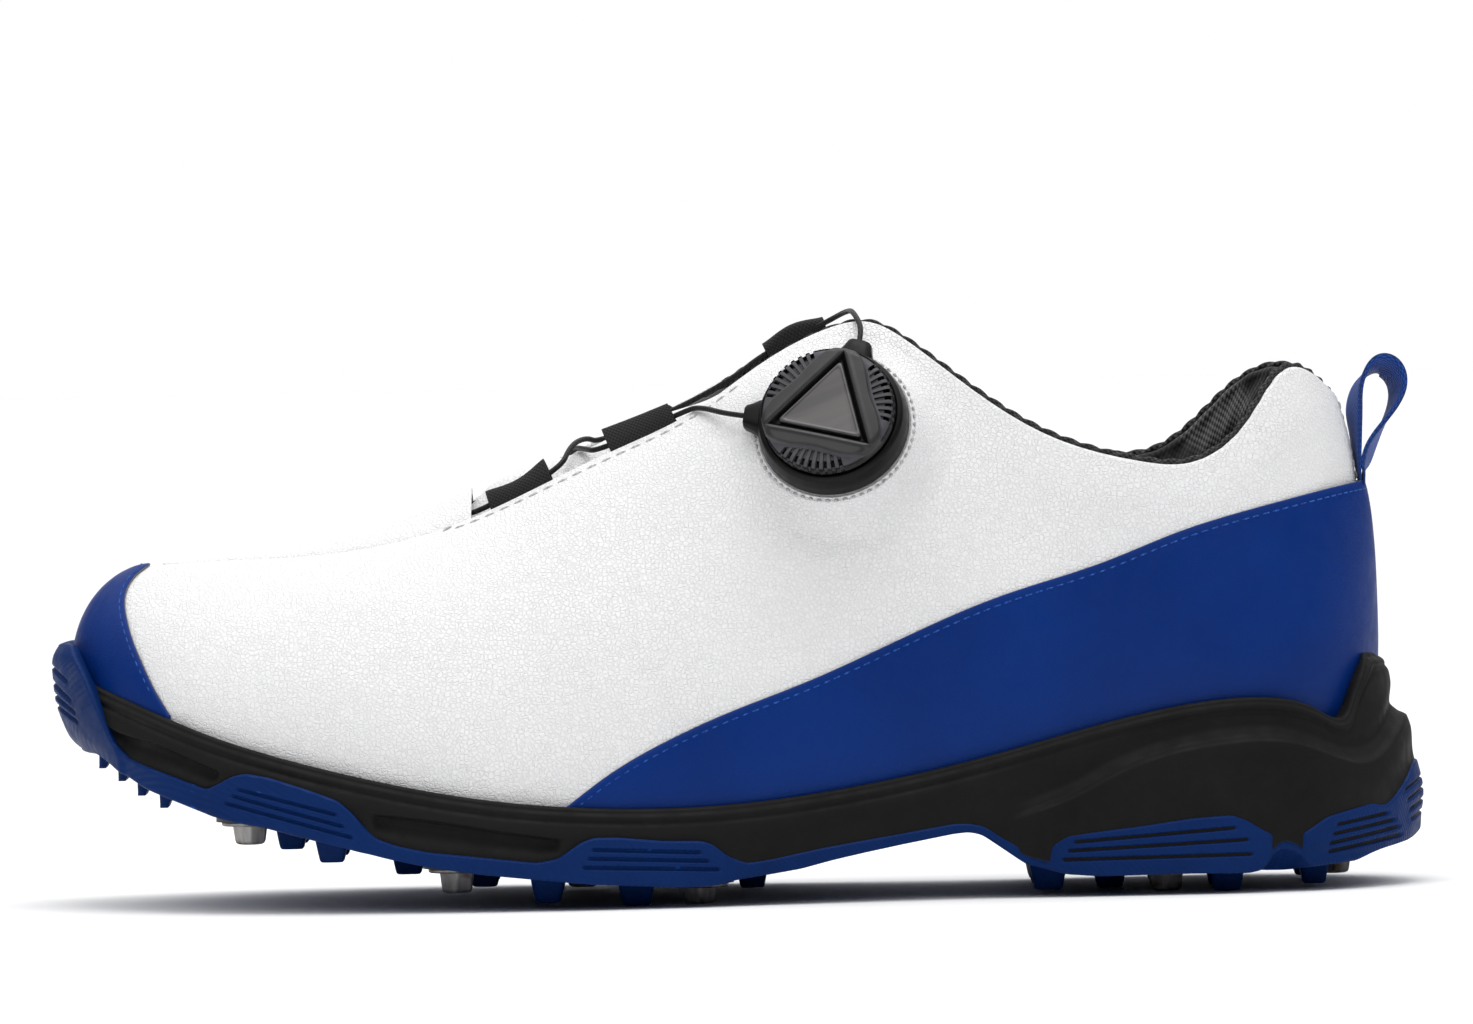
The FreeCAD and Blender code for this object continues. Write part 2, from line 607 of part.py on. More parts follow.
def tongue_point(s, t, depth):
    """A point of the tongue; t runs from -1 at its lateral edge to 1 at its medial one."""
    side = s if t < 0 else AROUND - s
    tuck = max(abs(t) - 0.5, 0.0) * 0.36
    edge = layer_point(side, 1 - tuck, TONGUE_DEPTH + depth)
    if abs(t) >= 0.5:
        return edge
    far = layer_point(AROUND - side, 1.0, TONGUE_DEPTH + depth)
    share = 0.5 - abs(t)
    crown = 1.2 * smooth(2.95, 3.25, s) - 4.6 * (1 - smooth(2.95, 3.25, s))
    return edge + (far - edge) * share + UP * (TONGUE_DEPTH + crown) * smooth(0.1, 0.5, share)


def tongue_layer(outer, inner, s1=TONGUE_END):
    skins = [sheet(lambda s, t: tongue_point(s, t, depth), (TONGUE_START, s1),
                   even((-1.0, 1.0)), 24, 29) for depth in (outer, inner)]
    return between(*skins)


def make_uppers():
    """Every layer of the upper, by name."""
    full, none = even(1.0), even(0.0)
    flat = even(0.0)
    shapes = {}
    sides = (("lateral", LATERAL, 1), ("medial", MEDIAL, -1))
    for name, (s0, s1), sign in sides:
        shapes[f"upper_{name}"] = patch((s0, s1), none, even(0.985), flat, even(LEATHER), 76, 13)
        shapes[f"lining_{name}"] = patch(
            (s0, s1), even(0.01), full, lining_depth,
            lambda s, v: lining_depth(s, v) + LINING, 90, 31)

        def turn(s, sign=sign):
            return s if sign > 0 else AROUND - s

        span = sorted((turn(3.35), turn(8.97)))
        shapes[f"quarter_overlay_{name}"] = patch(
            span, even(0.01), quarter_top, even(-GAP - OVERLAY), even(-GAP), 40, 8)
        span = sorted((turn(7.2), turn(8.97)))
        shapes[f"heel_counter_{name}"] = patch(
            span, even(0.03), even(0.56), even(LEATHER + GAP), even(LINING_DEPTH - GAP), 20, 8)
        span = sorted((turn(6.25), turn(8.97)))
        shapes[f"collar_foam_{name}"] = patch(
            span, even(0.62), even(0.975), even(LEATHER + GAP),
            lambda s, v: lining_depth(s, v) - 0.5, 40, 18)
    shapes["toe_cap"] = patch((-1.22, 1.22), even(0.01), toe_cap_top, even(-GAP - OVERLAY),
                              even(-GAP), 33, 10)
    shapes["toe_puff"] = patch((-1.3, 1.3), even(0.03), even(0.86), even(LEATHER + GAP),
                               even(LINING_DEPTH - GAP), 33, 10)
    shapes["vamp_strip"] = strip(0.42, 3.0, 0.0, LEATHER)
    shapes["vamp_lining"] = strip(0.42, 2.8, LINING_DEPTH, LINING_DEPTH + LINING)
    shapes["tongue"] = tongue_layer(0.0, 1.1)
    shapes["tongue_foam"] = tongue_layer(1.25, 3.4, TONGUE_END - 0.04)
    shapes["tongue_lining"] = tongue_layer(3.55, 4.4)
    return shapes


def make_pull_loop():
    """Webbing folded into a loop, sewn to the back of the heel by both ends."""
    middle = [(140.0, 88.9), (139.3, 92.5), (138.4, 98.0), (137.4, 103.6), (138.2, 109.0),
              (140.6, 112.8), (143.8, 114.0), (146.4, 112.2), (147.2, 108.6), (146.0, 104.4),
              (143.6, 99.8), (141.8, 95.4), (141.1, 92.2), (141.0, 88.9)]
    middle = [(x, z) for x, z in middle]
    spine = Part.BSplineCurve()
    spine.interpolate([Vector(x, 0, z) for x, z in middle])
    first, final = spine.FirstParameter, spine.LastParameter
    sides = ([], [])
    for u in steps(first, final, 60):
        point, along = spine.value(u), spine.tangent(u)[0]
        out = Vector(along.z, 0, -along.x)
        for line, sign in zip(sides, (1, -1)):
            line.append(point + out * (0.5 * sign))
    edges = []
    for line in sides:
        run = Part.BSplineCurve()
        run.interpolate([p + Vector(0, -LOOP_WIDTH / 2, 0) for p in line])
        edges.append(run.toShape())
    ends = [Part.makeLine(edges[0].valueAt(edges[0].ParameterRange[k]),
                          edges[1].valueAt(edges[1].ParameterRange[k])) for k in (0, 1)]
    face = Part.Face(Part.Wire([edges[0], ends[1], edges[1], ends[0]]))
    return face.extrude(Vector(0, LOOP_WIDTH, 0))


LOOP_WIDTH = 10.0


# ---------------------------------------------------------------- the dial

def dial_frame():
    """The dial's placement: its z runs out along the axis from the top of the pad under it."""
    across_x = (Vector(1, 0, 0) - DIAL_AXIS * DIAL_AXIS.x).normalize()
    turn = FreeCAD.Rotation(across_x, DIAL_AXIS.cross(across_x), DIAL_AXIS, "ZXY")
    foot = last(DIAL_S, DIAL_V)
    highest = 0.0
    for s in steps(DIAL_S - 0.8, DIAL_S + 0.8, 33):
        for v in steps(DIAL_V - 0.3, 1.0, 25):
            offset = last(s, v) - foot
            rise = offset.dot(DIAL_AXIS)
            if (offset - DIAL_AXIS * rise).Length < HOUSING_RADIUS + 0.5:
                highest = max(highest, rise)
    return FreeCAD.Placement(foot + DIAL_AXIS * (highest + 0.5), turn)


def disc(radius, low, high, bore=0.0):
    body = Part.makeCylinder(radius, high - low, Vector(0, 0, low))
    if bore:
        body = body.cut(Part.makeCylinder(bore, high - low + 2, Vector(0, 0, low - 1)))
    return body


def toothed(teeth, tip, root, low, high):
    """A prism with a toothed outline."""
    points = []
    for i in range(teeth):
        start = 360.0 / teeth * i
        for share, radius in ((0.1, tip), (0.4, tip), (0.6, root), (0.9, root)):
            angle = math.radians(start + 360.0 / teeth * share)
            points.append(Vector(radius * math.cos(angle), radius * math.sin(angle), low))
    return Part.Face(Part.makePolygon([*points, points[0]])).extrude(Vector(0, 0, high - low))


def triangle(reach, low, high, rounding):
    """A three-cornered prism with rounded corners, one corner up."""
    points = [Vector(reach * math.cos(math.radians(a)), reach * math.sin(math.radians(a)), low)
              for a in TRIANGLE_ANGLES]
    body = Part.Face(Part.makePolygon([*points, points[0]])).extrude(Vector(0, 0, high - low))
    corners = [e for e in body.Edges if abs(e.tangentAt(e.FirstParameter).z) > 0.99]
    return body.makeFillet(rounding, corners)


TRIANGLE_ANGLES = (72.0, 192.0, 312.0)


def make_dial():
    """Every part of the dial, by name, standing on its own z axis."""
    shapes = {}
    housing = disc(HOUSING_RADIUS, 0, HOUSING_TOP).cut(disc(HOUSING_BORE, HOUSING_FLOOR, 20))
    housing = housing.fuse(disc(POST_RADIUS, HOUSING_FLOOR - 0.2, POST_TOP))
    for angle in PORT_ANGLES:
        port = Part.makeBox(PORT_REACH - HOUSING_BORE - 0.4, 5.6, 4.6,
                            Vector(HOUSING_BORE + 0.4, -2.8, 0.4))
        lip = [e for e in port.Edges if abs(e.tangentAt(e.FirstParameter).x) > 0.99
               and e.CenterOfMass.z > 3]
        port = port.makeFillet(1.2, lip)
        port.rotate(Vector(), Vector(0, 0, 1), angle)
        housing = housing.fuse(port)
    for angle in PORT_ANGLES:
        hole = Part.makeCylinder(WIRE_HOLE, 12, Vector(HOUSING_BORE - 3, 0, PORT_HEIGHT),
                                 Vector(1, 0, 0))
        hole.rotate(Vector(), Vector(0, 0, 1), angle)
        housing = housing.cut(hole)
    shapes["dial_housing"] = housing.cut(disc(POST_BORE, -1, POST_TOP + 1))

    spool = disc(SPOOL_RADIUS, SPOOL_BOTTOM, SPOOL_TOP, POST_RADIUS + RUNNING)
    groove = disc(SPOOL_RADIUS + 1, SPOOL_BOTTOM + 0.8, SPOOL_TOP - 0.8, SPOOL_NECK)
    socket = toothed(DRIVE_TEETH, DRIVE_RADIUS + 0.15, DRIVE_RADIUS - 0.65, DRIVE_BOTTOM - 0.2, 9)
    shapes["spool"] = spool.cut(groove).cut(socket)

    ring = disc(HOUSING_BORE - RUNNING, RATCHET_BOTTOM, RATCHET_TOP)
    shapes["ratchet_ring"] = ring.cut(
        toothed(RATCHET_TEETH, RATCHET_ROOT, RATCHET_TIP, RATCHET_BOTTOM - 1, RATCHET_TOP + 1))

    drive = toothed(DRIVE_TEETH, DRIVE_RADIUS, DRIVE_RADIUS - 0.8, DRIVE_BOTTOM, PAWL_BOTTOM + 0.2)
    pawls = disc(9.6, PAWL_BOTTOM, PAWL_TOP)
    for i in range(3):
        arm = Part.makeBox(5.2, 2.0, PAWL_TOP - PAWL_BOTTOM, Vector(7.0, -1.0, PAWL_BOTTOM))
        arm = arm.common(disc(PAWL_RADIUS, 0, 20))
        arm.rotate(Vector(), Vector(0, 0, 1), 120 * i)
        pawls = pawls.fuse(arm)
    shapes["pawl_disc"] = drive.fuse(pawls).cut(disc(SLEEVE_RADIUS + RUNNING, 0, 20))

    sleeve = disc(SLEEVE_RADIUS, SLEEVE_BOTTOM + 1.3, SLEEVE_TOP)
    sleeve = sleeve.fuse(disc(5.2, SLEEVE_TOP - 0.9, SLEEVE_TOP))
    sleeve = sleeve.cut(disc(POST_RADIUS + RUNNING, 0, 20))
    shapes["lift_sleeve"] = sleeve.cut(disc(3.1, 4.6, 20))

    screw = disc(POST_BORE - 0.05, 0.2, POST_TOP + 0.2).fuse(disc(2.85, POST_TOP + 0.05, 8.6))
    shapes["axle_screw"] = screw.cut(toothed(6, 0.9, 0.5, 8.0, 9.5))

    knob = disc(KNOB_CORE, KNOB_BOTTOM, KNOB_TOP).cut(disc(12.6, KNOB_BOTTOM - 1, 9.6))
    knob = knob.fuse(disc(9.2, PAWL_TOP + GAP, 9.8, 7.2))
    rim = [e for e in knob.Edges if e.BoundBox.ZMin > KNOB_TOP - 0.01
           and e.BoundBox.XMax > KNOB_CORE - 0.1]
    knob = knob.makeFillet(0.9, rim)
    shapes["knob"] = knob.cut(triangle(15.6, KNOB_TOP - 1.2, KNOB_TOP + 1, 2.6))
    shapes["dial_badge"] = triangle(12.9, KNOB_TOP - 1.1, KNOB_TOP - 0.2, 2.0)

    grip = disc(GRIP_RADIUS, KNOB_BOTTOM + 0.1, KNOB_TOP - 1.5, KNOB_CORE + 0.05)
    ribs = []
    for corner in TRIANGLE_ANGLES:
        for i in range(GRIP_RIBS):
            angle = math.radians(corner + 60 + (i - (GRIP_RIBS - 1) / 2) * 9.0)
            foot = Vector(14.55 * math.cos(angle), 14.55 * math.sin(angle), KNOB_BOTTOM + 0.3)
            ribs.append(Part.makeCylinder(0.5, KNOB_TOP - KNOB_BOTTOM - 2.0, foot))
    grip = grip.multiFuse(ribs)
    shapes["knob_grip"] = grip.cut(disc(KNOB_CORE + 0.05, 0, 20))
    return shapes


def make_pad(frame):
    """The raised pad that levels the leather under the housing."""
    cone = Part.makeCone(PAD_RADIUS + 2.2, PAD_RADIUS - 1.6, 14, Vector(0, 0, -14))
    rim = [e for e in cone.Edges if e.BoundBox.ZMin > -0.01 and e.BoundBox.ZMax < 0.01]
    cone = cone.makeFillet(1.5, rim)
    cone.Placement = frame
    inside = patch((DIAL_S - 1.1, DIAL_S + 1.1), even(0.2), even(1.0), even(-0.1), even(30.0), 24, 12)
    found = cone.cut(inside)
    return max(found.Solids, key=lambda solid: solid.CenterOfMass.dot(DIAL_AXIS))


# ---------------------------------------------------------------- the lacing

def guide_ends(s_low, s_high):
    """The two ends of a guide's bore."""
    ends = []
    for s in (s_low, s_high):
        edge = layer_point(s, 1.0, -0.1)
        along = (last(s, 1.0) - last(s, 0.96)).normalize()
        ends.append(edge + along * GUIDE_RISE)
    return ends


def make_guide(s_low, s_high):
    """A webbing tunnel on the throat's edge with a tail sewn in under the eyestay."""
    low, high = guide_ends(s_low, s_high)
    along = (high - low).normalize()
    length = (high - low).Length
    tube = Part.makeCylinder(GUIDE_RADIUS, length, low, along)
    span = sorted((s_low, s_high))
    tail = patch(span, even(0.93), even(1.05), even(LEATHER + GAP), even(LINING_DEPTH - GAP), 6, 5)
    bore = Part.makeCylinder(GUIDE_BORE, length + 8, low - along * 4, along)
    return tube.fuse(tail).cut(bore)


def rounded_wire(points, bend):
    """Straight runs through the points, joined by arcs that touch both neighbours."""
    edges, start = [], points[0]
    for before, corner, after in zip(points, points[1:], points[2:]):
        into, out = (corner - before).normalize(), (after - corner).normalize()
        half = into.getAngle(out) / 2
        if half < 0.02:
            continue
        reach = min(bend * math.tan(half), (corner - before).Length * 0.45,
                    (after - corner).Length * 0.45)
        radius = reach / math.tan(half)
        first, final = corner - into * reach, corner + out * reach
        centre = corner + (out - into).normalize() * (radius / math.cos(half))
        middle = centre + (corner - centre).normalize() * radius
        edges.append(Part.makeLine(start, first))
        edges.append(Part.Arc(first, middle, final).toShape())
        start = final
    edges.append(Part.makeLine(start, points[-1]))
    return Part.Wire(edges)


def lace_route(frame):
    """The wire's path from the lower port, through the guides and back into the upper port."""
    def ends_beyond(low, high):
        """The guide's two ends, carried on along its bore."""
        along = (high - low).normalize() * 2.6
        return low - along, high + along

    def port(angle, radius):
        turn = math.radians(angle)
        return frame.multVec(Vector(radius * math.cos(turn), radius * math.sin(turn), PORT_HEIGHT))

    ends = {name: ends_beyond(*guide_ends(low, high)) for name, low, high in GUIDES}
    near_1, near_2 = ends["guide_near_1"], ends["guide_near_2"]
    far_1, far_2, far_3 = ends["guide_far_1"], ends["guide_far_2"], ends["guide_far_3"]
    lower, upper = PORT_ANGLES
    return [
        port(lower, HOUSING_BORE - 0.6), port(lower, PORT_REACH + 3.0), Vector(-8.0, -17.6, 108.6),
        near_2[1], near_2[0], far_1[1], far_1[0], Vector(-58.0, 7.5, 89.8), Vector(-58.2, -7.5, 87.2),
        near_1[0], near_1[1], far_2[0], far_2[1], far_3[0], far_3[1],
        Vector(27.0, -3.0, 129.0), port(upper, PORT_REACH + 3.0), port(upper, HOUSING_BORE - 0.6),
    ]


def make_lace(frame):
    path = rounded_wire(lace_route(frame), LACE_BEND)
    start = path.Edges[0]
    section = Part.Wire(Part.makeCircle(WIRE_RADIUS, start.valueAt(start.FirstParameter),
                                        start.tangentAt(start.FirstParameter)))
    lace = path.makePipeShell([section], True, False)
    print("lace length", round(path.Length, 1), "volume error",
          round(lace.Volume / (path.Length * math.pi * WIRE_RADIUS**2) - 1, 4))
    return lace


def build():
    shapes = {}
    panels = side_panels()
    shapes["outsole"] = make_outsole(panels)
    shapes["midsole"] = make_midsole(side_panels(0.12))
    shapes["shank"] = shank_blank(SHANK_WIDTH, -1.8, -0.3, -31.0, 61.0)
    shapes["insole_board"] = floor_layer(0.05, 1.7, even(-4.4))
    shapes["sock_liner"] = floor_layer(1.85, 5.6, even(-4.7))
    for number, (x, y, tip) in enumerate(CLEATS, 1):
        shapes[f"cleat_{number}"] = make_cleat(x, y, tip)
        shapes[f"cleat_socket_{number}"] = make_socket(x, y)
    shapes.update(make_uppers())
    shapes["pull_loop"] = make_pull_loop()
    frame = dial_frame()
    shapes["dial_pad"] = make_pad(frame)
    for name, shape in make_dial().items():
        shape.Placement = frame.multiply(shape.Placement)
        shapes[name] = shape
    for name, s_low, s_high in GUIDES:
        shapes[name] = make_guide(s_low, s_high)
    shapes["lace"] = make_lace(frame)
    return shapes


if __name__ == "__main__":
    os.makedirs("parts", exist_ok=True)
    for name, shape in build().items():
        shape.exportStep(os.path.join("parts", f"{name}.step"))
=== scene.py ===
"""Looks of the golf shoe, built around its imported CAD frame.

Lengths inside the builders are millimetres in the CAD frame (+X heel, -Y lateral side, +Z up);
add_mesh() turns them into metres.  The upper and the sole share the last of the CAD model:
last(s, v), with s from 0 at the toe through the lateral side (9 at the heel) to 18 at the toe.
"""

import math

import bmesh
import bpy
import numpy as np
from mathutils import Matrix, Vector


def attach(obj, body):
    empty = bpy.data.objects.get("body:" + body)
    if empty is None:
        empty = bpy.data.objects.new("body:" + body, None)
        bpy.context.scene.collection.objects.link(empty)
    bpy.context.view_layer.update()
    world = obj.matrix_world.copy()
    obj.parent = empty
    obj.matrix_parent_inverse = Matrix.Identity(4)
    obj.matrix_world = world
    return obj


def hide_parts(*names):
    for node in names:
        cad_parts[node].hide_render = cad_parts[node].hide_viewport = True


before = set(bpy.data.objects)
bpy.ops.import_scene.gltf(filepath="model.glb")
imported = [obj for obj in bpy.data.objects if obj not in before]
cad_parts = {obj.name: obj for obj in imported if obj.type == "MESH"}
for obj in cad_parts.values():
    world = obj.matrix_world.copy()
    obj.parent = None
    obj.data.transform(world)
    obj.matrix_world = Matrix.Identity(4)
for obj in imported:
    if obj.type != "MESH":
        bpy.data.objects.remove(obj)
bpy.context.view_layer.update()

MM = 0.001
AROUND, HEEL = 18.0, 9.0
TAU = 2 * math.pi
UP = np.array([0.0, 0.0, 1.0])

# ---------------------------------------------------------------- the last, as in the CAD model

FLOOR = [
    (-150, 40.5), (-143, 38.0), (-120, 31.0), (-95, 24.5), (-65, 18.5), (-35, 15.5),
    (0, 16.0), (30, 20.0), (63, 26.0), (95, 30.0), (120, 31.5), (150, 32.5),
]
SOLE_EDGE = [
    (0, -143.5, 9.0), (1, -128.0, -21.0), (2, -98.0, -39.0), (3, -55.0, -47.5), (4, -12.0, -45.0),
    (5, 28.0, -37.5), (6, 64.0, -33.5), (7, 96.0, -33.0), (8, 124.0, -26.0), (9, 138.5, 0.0),
    (10, 124.0, 26.5), (11, 96.0, 32.5), (12, 64.0, 31.0), (13, 28.0, 33.0), (14, -12.0, 40.0),
    (15, -55.0, 48.0), (16, -98.0, 44.0), (17, -130.0, 31.5),
]
TOP_LINE = [
    (0.0, -126.0, 6.0, 75.2), (0.6, -121.5, 2.8, 75.4), (1.2, -112.0, -0.2, 75.9),
    (2.0, -94.0, -4.5, 76.6), (3.0, -62.0, -11.5, 82.6), (4.0, -27.0, -15.0, 98.0),
    (4.5, -8.0, -15.8, 106.8), (5.0, 10.0, -15.2, 118.8), (5.4, 26.0, -16.0, 125.4),
    (5.8, 38.0, -18.6, 121.8), (6.2, 54.0, -23.2, 109.2), (6.6, 70.0, -27.6, 99.2),
    (7.1, 89.0, -30.2, 93.5), (7.5, 101.0, -28.8, 93.1), (7.9, 112.0, -25.4, 100.4),
    (8.2, 118.6, -21.6, 109.6), (8.5, 124.5, -16.0, 113.2), (8.75, 130.0, -9.0, 110.4),
    (9.0, 134.0, 0.0, 106.4),
    (9.25, 130.5, 9.4, 109.8), (9.5, 125.0, 16.6, 113.0), (9.8, 118.0, 22.4, 112.0),
    (10.1, 111.0, 26.0, 107.6), (10.5, 101.0, 28.6, 98.6), (10.9, 90.0, 29.2, 93.8),
    (11.4, 71.0, 26.6, 97.8), (11.8, 54.0, 22.4, 108.4), (12.2, 38.0, 17.6, 121.0),
    (12.6, 26.0, 14.4, 125.0), (13.0, 10.0, 13.2, 119.6), (13.5, -8.0, 13.4, 110.0),
    (14.0, -27.0, 13.0, 101.8), (15.0, -62.0, 12.5, 86.4), (16.0, -94.0, 10.6, 77.8),
    (16.8, -112.0, 9.8, 76.2), (17.4, -121.5, 9.2, 75.5),
]
WALL_SHAPE = [
    (0, 20.5, 7.0, 15.0, 0.6), (1, 21.5, 6.5, 16.0, 1.2), (2, 27.0, 5.5, 19.5, 2.4),
    (3, 31.0, 5.0, 19.0, 6.0), (4, 36.0, 4.0, 18.0, 8.0), (5, 42.0, 3.5, 17.0, 6.0),
    (6, 36.0, 3.2, 8.5, 19.0), (7, 24.0, 3.6, 3.4, 20.0), (8, 24.0, 4.4, 4.6, 22.0),
    (9, 24.0, 5.5, 5.5, 22.4),
]
STRIP_RISE = [(0, 0.2), (1, 0.8), (1.8, 1.6), (2.3, 2.2), (2.8, 3.1), (3.2, 4.5), (4, 4.5)]
LINING_DEPTH = 2.95
COLLAR_PAD = 4.4
LEATHER = 1.4
PANEL_FOOT = 0.005  # v of the panels' lower edge
TONGUE_DEPTH = 4.5

# ---------------------------------------------------------------- curves


def spline(rows, period=None):
    """A smooth vector-valued function of t through rows of (t, value, ...)."""
    rows = np.array(rows, float)
    t, p = rows[:, 0], rows[:, 1:]
    if period:
        t = np.concatenate([[t[-1] - period], t, [t[0] + period]])
        p = np.vstack([p[-1:], p, p[:1]])
    n, h = len(t), np.diff(t)
    a, b = np.eye(n), np.zeros_like(p)
    for i in range(1, n - 1):
        a[i, i - 1:i + 2] = h[i - 1], 2 * (h[i - 1] + h[i]), h[i]
        b[i] = 6 * ((p[i + 1] - p[i]) / h[i] - (p[i] - p[i - 1]) / h[i - 1])
    if period:
        a[0, n - 2] = a[n - 1, 1] = -1
    bend = np.linalg.solve(a, b)

    def value(x):
        x = np.asarray(x, float)
        x = t[1] + (x - t[1]) % period if period else np.clip(x, t[0], t[-1])
        i = np.clip(np.searchsorted(t, x, side="right") - 1, 0, n - 2)
        step = h[i]
        w = ((x - t[i]) / step)[..., None]
        u, step = 1 - w, step[..., None]
        found = (u * p[i] + w * p[i + 1]
                 + ((u**3 - u) * bend[i] + (w**3 - w) * bend[i + 1]) * step**2 / 6)
        return found[..., 0] if found.shape[-1] == 1 else found

    return value


def both_sides(rows):
    """Rows of s for one side, repeated for the other."""
    return [*rows, *((AROUND - row[0], *row[1:]) for row in rows[::-1] if 0 < row[0] < HEEL)]


def smooth(low, high, x):
    t = np.clip((np.asarray(x, float) - low) / (high - low), 0, 1)
    return t * t * (3 - 2 * t)


def bump(x, centre, width):
    return np.exp(-(((x - centre) / width) ** 2))


def unit(a):
    return a / np.maximum(np.linalg.norm(a, axis=-1, keepdims=True), 1e-9)


def mix(a, b, w):
    return a + (b - a) * w


floor_height = spline(FLOOR)
sole_edge = spline(SOLE_EDGE, AROUND)
top_line = spline(TOP_LINE, AROUND)
wall_shape = spline(both_sides(WALL_SHAPE), AROUND)
strip_rise = spline(STRIP_RISE)


def outward(s):
    """The level direction out of the shoe at the sole edge."""
    d = sole_edge(np.asarray(s) + 0.01) - sole_edge(np.asarray(s) - 0.01)
    return unit(np.stack([d[..., 1], -d[..., 0], np.zeros_like(d[..., 0])], -1))


def last(s, v):
    """Points of the leather's outer face."""
    s, v = np.broadcast_arrays(np.asarray(s, float), np.asarray(v, float))
    edge = sole_edge(s)
    foot = np.concatenate([edge, floor_height(edge[..., 0])[..., None]], -1)
    top, shape, out = top_line(s), wall_shape(s), outward(s)
    low = foot + UP * shape[..., 0:1] + out * shape[..., 1:2]
    high = top + out * shape[..., 2:3] - UP * shape[..., 3:4]
    v = v[..., None]
    w = 1 - v
    return foot * w**3 + low * (3 * w * w * v) + high * (3 * w * v * v) + top * v**3


def normal(s, v):
    e = 0.004
    along = last(s + e, v) - last(s - e, v)
    across = last(s, v + e) - last(s, v - e)
    return unit(np.cross(along, across))


def layer(s, v, depth):
    """Points at a depth under the leather's outer face."""
    s, v, depth = np.broadcast_arrays(*(np.asarray(x, float) for x in (s, v, depth)))
    return last(s, v) - normal(s, v) * depth[..., None]


def mirror_s(s):
    s = np.mod(s, AROUND)
    return np.minimum(s, AROUND - s)


def height_where(s, test):
    """The v at which test(point) passes from below zero to above it."""
    low, high = np.zeros_like(s), np.ones_like(s)
    for _ in range(30):
        middle = (low + high) / 2
        inside = test(last(s, middle)) < 0
        low, high = np.where(inside, middle, low), np.where(inside, high, middle)
    return low


# ---------------------------------------------------------------- meshes


def add_mesh(name, points, faces, uv=None, materials=(), face_materials=None, body="shoe",
             slot=None, smooth_angle=None):
    """An object from points in millimetres; uv holds one pair per point."""
    mesh = bpy.data.meshes.new(name)
    mesh.from_pydata((np.asarray(points, float) * MM).tolist(), [], faces)
    mesh.polygons.foreach_set("use_smooth", [True] * len(mesh.polygons))
    if uv is not None:
        layer_ = mesh.uv_layers.new(name="UVMap")
        index = np.empty(len(mesh.loops), int)
        mesh.loops.foreach_get("vertex_index", index)
        layer_.data.foreach_set("uv", np.asarray(uv, float)[index].ravel())
    for material in materials:
        mesh.materials.append(material)
    if face_materials is not None:
        mesh.polygons.foreach_set("material_index", face_materials)
    mesh.validate()
    mesh.update()
    obj = bpy.data.objects.new(name, mesh)
    bpy.context.scene.collection.objects.link(obj)
    if smooth_angle:
        mesh.set_sharp_from_angle(angle=math.radians(smooth_angle))
    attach(obj, body)
    return obj


def lengths(grid, axis):
    """Running length along an axis of a grid of points, averaged over the other axis."""
    step = np.linalg.norm(np.diff(grid, axis=axis), axis=-1).mean(axis=1 - axis)
    return np.concatenate([[0], np.cumsum(step)])


def grid_data(grid, closed_u=False, closed_v=False, first=0):
    """Faces and uv of a grid of points (nu, nv, 3)."""
    nu, nv = grid.shape[:2]
    index = first + np.arange(nu * nv).reshape(nu, nv)
    a = np.concatenate([index, index[:1]]) if closed_u else index
    a = np.concatenate([a, a[:, :1]], 1) if closed_v else a
    quads = np.stack([a[:-1, :-1], a[1:, :-1], a[1:, 1:], a[:-1, 1:]], -1).reshape(-1, 4)
    u, v = lengths(grid, 0), lengths(grid, 1)
    uv = np.stack(np.meshgrid(u, v, indexing="ij"), -1).reshape(-1, 2) * 0.01
    return quads.tolist(), uv


def add_grid(name, grid, closed_u=False, closed_v=False, caps=False, **more):
    """An object from a grid of points; caps close the ends of a ring section."""
    faces, uv = grid_data(grid, closed_u, closed_v)
    if caps:
        faces += end_faces(*grid.shape[:2])
    return add_mesh(name, grid.reshape(-1, 3), faces, uv, **more)


def sections(outer, inner, steps=5, bulge=1.0):
    """Ring sections round a sheet: the outer face, a rounded rim, the inner face and a rim."""
    angles = np.linspace(0, math.pi, steps + 2)[1:-1]

    def rim(a, b, before):
        middle, reach = (a + b) / 2, (a - b) / 2
        out = unit(a - before) * np.linalg.norm(reach, axis=-1, keepdims=True) * bulge
        return [(middle + reach * math.cos(t) + out * math.sin(t))[:, None] for t in angles]

    top = rim(outer[:, -1], inner[:, -1], outer[:, -2])
    bottom = rim(inner[:, 0], outer[:, 0], inner[:, 1])
    return np.concatenate([outer, *top, inner[:, ::-1], *bottom], 1)


def around_axis(radius, angle, height):
    """Points at a radius and an angle round the z axis."""
    return np.stack(np.broadcast_arrays(radius * np.cos(angle), radius * np.sin(angle), height), -1)


def lathe(profile, count):
    """A ring grid from a profile of (radius, height)."""
    angle = np.linspace(0, TAU, count, endpoint=False)[:, None]
    return around_axis(profile[:, 0][None], angle, profile[:, 1][None])


def rounded(profile, radius, steps=5):
    """A profile of (radius, height) with its inner corners rounded."""
    points = [np.array(p, float) for p in profile]
    out = [points[0]]
    for a, b, c in zip(points, points[1:], points[2:]):
        d0, d1 = np.linalg.norm(b - a), np.linalg.norm(c - b)
        reach = min(radius, d0 * 0.45, d1 * 0.45)
        start, end = b + (a - b) / d0 * reach, b + (c - b) / d1 * reach
        for t in np.linspace(0, 1, steps):
            out.append((1 - t) ** 2 * start + 2 * t * (1 - t) * b + t * t * end)
    out.append(points[-1])
    return np.array(out)


def run_length(path):
    """The running length along a path."""
    return np.concatenate([[0], np.cumsum(np.linalg.norm(np.diff(path, axis=0), axis=1))])


